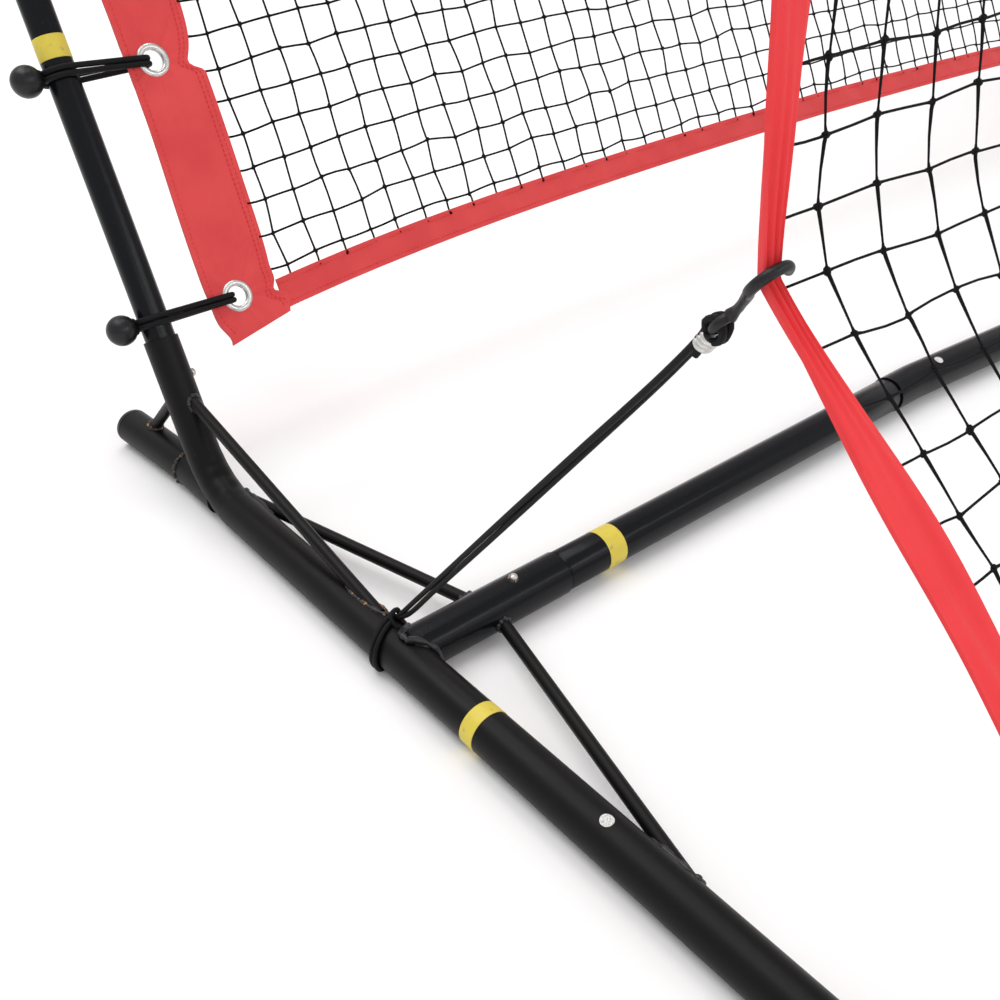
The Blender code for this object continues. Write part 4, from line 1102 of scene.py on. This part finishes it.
# straps: cloth folded lengthwise, gathered to a rope where the hook holds it
def straps():
    share = np.unique(np.concatenate([np.linspace(0, 1, 260),
                                      hookShare + np.linspace(-0.09, 0.09, 120)]))
    gather = np.exp(-((share - hookShare) / neckLength) ** 2)[:, None]
    u = np.linspace(-1, 1, 26)
    half = strapWidth / 2 * (1 - gather) + strapNeck / 2 * gather
    middle = strapOut + strapWidth / 2 * (1 - gather) + 0.003 * gather
    fold = 0.0007 * np.cos(2 * math.pi * u * 0.9 + share[:, None] * 9) * (1 - gather) \
        + 0.0011 * gather * np.cos(2 * math.pi * u * 1.6 + share[:, None] * 30)
    ripple = 0.0009 * np.sin(share[:, None] * 75 + u * 2.2) * (1 - gather * 0.6)
    rounding = np.sqrt(np.maximum(1 - u**2 * 0.96 * gather, 0.08))
    thickness = (0.0010 * (1 - gather) + 0.0026 * gather) * rounding
    base = pulledPoint(strapOut, share, strapPull(share))
    facing = frontNormal(strapOut + 0.004, share)
    facing[:, 0] = 0
    facing = unit(facing)
    for label, side in sides.items():
        centres = np.repeat(base[:, None], len(u), 1) + facing[:, None] * (fold + ripple)[..., None]
        centres[..., 0] = middle + u * half - rig["halfWidth"]
        normals = np.broadcast_to(facing[:, None], centres.shape)
        strap = makePiece("strap_" + label,
                          [clothPatch(mirrored(centres, side), mirrored(normals, side), thickness)],
                          "strap cloth", creaseAngle=60, replaces=("front_strap_" + label,))


# cloth tubes that hold the front net to the top frame and to the front bar
def netSleeves():
    width = 2 * rig["halfWidth"]
    for name, node, y, z, ends, radius, bore in (
            ("topSleeve", "front_top_sleeve", rig["topY"], rig["topZ"], (0.075, width - 0.075),
             cloth["topSleeveRadius"], 0.0130),
            ("footSleeve", "front_foot_sleeve", rig["frontY"], rig["floorRadius"],
             (0.134, width - 0.134),
             cloth["footSleeveRadius"], 0.0145)):
        x = np.linspace(ends[0], ends[1], 500)
        path = place(x, y, z, -1)
        grid = rings(path, radius, (0, 0, 1), 44)
        a = np.arange(44) * 2 * math.pi / 44
        wave = 0.00035 * np.sin(x[:, None] * 90 + 2 * a) + 0.00030 * np.sin(x[:, None] * 160 - 3 * a)
        grid = grid + unit(grid - path[:, None]) * (wave - 0.0002)[..., None]
        inside = path[::-1][:, None] + unit(grid - path[:, None])[::-1] * bore
        piece = makePiece(name, [patch(np.concatenate([grid, inside]), along=True)], "red cloth",
                          creaseAngle=60, replaces=(node,))


# ball bungees: a doubled cord over and under the tube, its tip through the grommet, a ball on the
# outside
bungee = {"radius": 0.0024, "strandGap": 0.0026, "ball": 0.0125, "ballAt": -0.0280, "collarAt": -0.0170,
          "tipAt": 0.0693, "tipRadius": 0.0039, "clear": 0.0009}


# each cord: half a circle round the tube, straight runs to a small circle through the grommet
def ballBungees():
    reach = rig["uprightRadius"] + bungee["clear"] + bungee["radius"]
    wrapAngle = np.linspace(math.pi / 2, 1.5 * math.pi, 25)
    tipAngle = np.linspace(-math.pi / 2, math.pi / 2, 13)
    u = np.concatenate([reach * np.cos(wrapAngle),
                        bungee["tipAt"] + bungee["tipRadius"] * np.cos(tipAngle)])
    w = np.concatenate([reach * np.sin(wrapAngle), bungee["tipRadius"] * np.sin(tipAngle)])
    loop = evenly(np.stack([np.append(u, u[0]), np.append(w, w[0]), 0 * np.append(u, 0)], -1),
                  0.0016)[:-1]
    for label, side in sides.items():
        inwards = np.array((-side, 0.0, 0.0))
        cords, balls = [], []
        spots = [(onUpright(0, t, side), onUpright(0, t, side, 1) - onUpright(0, t, side))
                 for t in rig["uprightBalls"]]
        spots += [(onArm(0, t, side), onArm(0, t, side, 1) - onArm(0, t, side))
                  for t in rig["armBalls"]]
        for centre, normal in spots:
            along = np.cross(inwards, normal)
            for hand in (-1, 1):
                near = np.clip(loop[:, :1] / 0.070, 0, 1)
                path = centre + inwards * loop[:, :1] + normal * loop[:, 1:2] \
                    + along * hand * bungee["strandGap"] * (1 - 0.12 * near)
                cords.append(patch(rings(path, bungee["radius"], along, 12, closed=True), along=True))
            ring = np.linspace(0, 2 * math.pi, 41)[:-1, None]
            collar = centre + inwards * bungee["collarAt"] \
                + (normal * np.cos(ring) * 0.0036 + along * np.sin(ring) * 0.0050)
            cords.append(patch(rings(collar, 0.0021, inwards, 10, closed=True), along=True))
            a = np.linspace(0.06, math.pi - 0.06, 26)
            profile = [(-bungee["ball"] * math.cos(t), bungee["ball"] * math.sin(t)) for t in a]
            balls.append(patch(turned(centre + inwards * bungee["ballAt"], inwards, profile, 40,
                                      along)))
        makePiece("ballBungees_" + label, cords, "elastic",
                  replaces=tuple("ball_bungee_%s_%d" % (label, n) for n in range(1, 7)))
        makePiece("balls_" + label, balls, "ball")


# strap hooks: a ring for the cord, a narrow shank, and a thicker band bent round the strap
hookShape = {"eye": 0.0041, "eyeBar": 0.0023, "band": 0.0024, "bendRadius": 0.0090,
             "stemRadii": (0.0030, 0.0021, 0.0020, 0.0024), "clipRadius": 0.0050, "clipRidge": 0.00055}


# hook: a stem from the eye, then an arc across the strap; the clip below it is a ridged ring
def strapHooks():
    for label, side in sides.items():
        strap, knot, down, across, normal, inwards = hookFrame(side)
        eye = strap + down * hookCord["eyeDrop"]
        t = np.radians(np.linspace(-40, -255, 26))[:, None]
        r = hookShape["bendRadius"]
        arc = strap + down * r * np.cos(t) + across * r * np.sin(t)
        stem = smoothly(np.array([eye - down * 0.0060, eye - down * 0.0115 - across * 0.0004,
                                  strap + down * 0.0150 - across * 0.0022, arc[0]]), 8)[:-1]
        path = np.concatenate([stem, arc])
        radius = np.concatenate([np.interp(np.linspace(0, 1, len(stem)), (0, 0.25, 0.7, 1),
                                           hookShape["stemRadii"]),
                                 np.full(len(arc), hookShape["band"])])
        radius[-1] *= 0.55
        ring = np.linspace(0, 2 * math.pi, 49)[:-1, None]
        eyeRadius = hookShape["eye"]
        loop = eye + down * (eyeRadius * 1.15 * np.cos(ring)) + across * (eyeRadius * np.sin(ring))
        makePiece("strapHook_" + label,
                  [patch(rings(path, radius, normal, 20, flat=1.05)),
                   patch(rings(loop, hookShape["eyeBar"], normal, 16, closed=True), along=True)],
                  "plastic", replaces=("strap_hook_" + label,))
        ridges = [(0.00024 * k,
                   hookShape["clipRadius"] + hookShape["clipRidge"] * abs(math.sin(k * math.pi / 11)))
                  for k in range(34)]
        clip = eye + down * (hookCord["clipDrop"] - 0.0034) - normal * 0.0010
        grid = turned(clip, down, ridges, 36, across)
        flat = (grid - clip) @ normal
        grid = grid - normal * (flat * 0.12)[..., None]
        makePiece("cordClip_" + label, [patch(grid)], "plated")


# tape and blank round labels
tapeShape = {"width": 0.018, "floorWidth": 0.0125, "floorAt": -0.0875, "crossAt": 0.196,
             "uprightAt": 0.370, "thick": 0.00022}
labelShape = {"radius": 0.0045, "thick": 0.00022, "floorAt": -0.202, "floorTilt": math.radians(6),
              "centreAt": 0.653, "centreTilt": math.radians(15)}


# tape bands and blank round labels of both sides
def tapesAndLabels():
    # a band of tape: a thin ring, thinner at both edges
    def wrap(centre, way, radius, width=tapeShape["width"]):
        lift, half = tapeShape["thick"], width / 2
        profile = [(-half, radius + lift * 0.2), (0.0001 - half, radius + lift),
                   (0, radius + lift * 1.2), (half - 0.0001, radius + lift),
                   (half, radius + lift * 0.2)]
        return patch(turned(centre, way, profile, 64))

    # a disc bent onto a tube: its width becomes an angle, its length runs along the tube
    def label(centre, way, tilt, radius):
        way = unit(np.asarray(way, float))
        up = np.array((0, 0, 1.0)) * math.cos(tilt[0]) + np.asarray(tilt[1], float) * math.sin(tilt[0])
        side = np.cross(way, up)
        a = np.linspace(0, 2 * math.pi, 33)[:-1]
        rows = []
        edge, thick = labelShape["radius"], labelShape["thick"]
        for r, h in ((0.0003, 0.0), (edge, 0.0), (edge, thick), (0.0022, thick), (0.0003, thick)):
            angle = r * np.cos(a)[:, None] / radius
            rows.append(centre + (up * np.cos(angle) + side * np.sin(angle)) * (radius + h)
                        + way * r * np.sin(a)[:, None])
        return patch(np.array(rows))

    for name, side in sides.items():
        spots = [(place(0, tapeShape["floorAt"], rig["floorRadius"], side), (0, 1, 0),
                  rig["floorRadius"],
                  tapeShape["floorWidth"]),
                 (place(tapeShape["crossAt"], 0, rig["crossZ"], side), (1, 0, 0), rig["crossRadius"]),
                 (onUpright(0, tapeShape["uprightAt"], side),
                  onUpright(0, 1, side) - onUpright(0, 0, side), rig["uprightRadius"])]
        makePiece("tapes_" + name, [wrap(*spot) for spot in spots], "tape")
        dots = [label(place(0, labelShape["floorAt"], rig["floorRadius"], side), (0, 1, 0),
                      (labelShape["floorTilt"], (side, 0, 0)),
                      rig["floorRadius"] + 0.0001),
                label(place(labelShape["centreAt"], -0.0024, rig["crossZ"], side), (1, 0, 0),
                      (labelShape["centreTilt"], (0, -1, 0)),
                      rig["socketRadius"] + 0.0001)]
        makePiece("labels_" + name, dots, "label")


ballBungees()
strapHooks()
backSleeves()
nets()
bands()
straps()
netSleeves()
tapesAndLabels()
print("cloth, nets, bungees and hooks done")


# plain pale floor and soft light
stageSetup = {"floor": 40.0, "sky": 0.74, "key": (-0.9, 1.3, 3.6), "keyPower": 105, "keySize": 3.4,
              "fill": (0.6, -3.5, 2.2), "fillPower": 12, "fillSize": 2.0,
              "strip": (-0.4, -1.7, 1.35), "stripPower": 7, "stripSize": (3.0, 0.14),
              "aim": (-0.8, 0.1, 0.1)}


# floor, even sky, a wide key from above, a fill and a narrow strip for the streaks on the tubes
def addStage():
    material = newMaterial("floor", (0.93, 0.93, 0.93), 0.9)
    tone, _ = noiseRamp(material, 0.6, ((0.2, (0.92, 0.92, 0.92)), (0.8, (0.94, 0.94, 0.94))), 2)
    feed(material, "Base Color", tone)
    size = stageSetup["floor"] / 2
    mesh = bpy.data.meshes.new("studioFloor")
    mesh.from_pydata([(-size, -size, 0), (size, -size, 0), (size, size, 0), (-size, size, 0)], [],
                     [(0, 1, 2, 3)])
    mesh.materials.append(material)
    floor = bpy.data.objects.new("studioFloor", mesh)
    bpy.context.scene.collection.objects.link(floor)
    world = bpy.data.worlds.new("studio")
    world.use_nodes = True
    world.node_tree.nodes["Background"].inputs["Color"].default_value = (1, 1, 1, 1)
    world.node_tree.nodes["Background"].inputs["Strength"].default_value = stageSetup["sky"]
    bpy.context.scene.world = world
    for name, size in (("key", stageSetup["keySize"]), ("fill", stageSetup["fillSize"]),
                       ("strip", 3.0)):
        light = bpy.data.lights.new(name, "AREA")
        light.energy, light.size = stageSetup[name + "Power"], size
        lamp = bpy.data.objects.new(name, light)
        lamp.location = stageSetup[name]
        target = np.array(stageSetup["aim"]) - np.array(stageSetup[name])
        if name == "strip":
            light.shape, light.size, light.size_y = "RECTANGLE", *stageSetup["stripSize"]
        tilt = math.acos(-target[2] / np.linalg.norm(target))
        lamp.rotation_euler = Euler((tilt, 0, math.atan2(target[1], target[0]) - math.pi / 2))
        bpy.context.scene.collection.objects.link(lamp)
    bpy.context.scene.view_settings.view_transform = "Standard"


addStage()
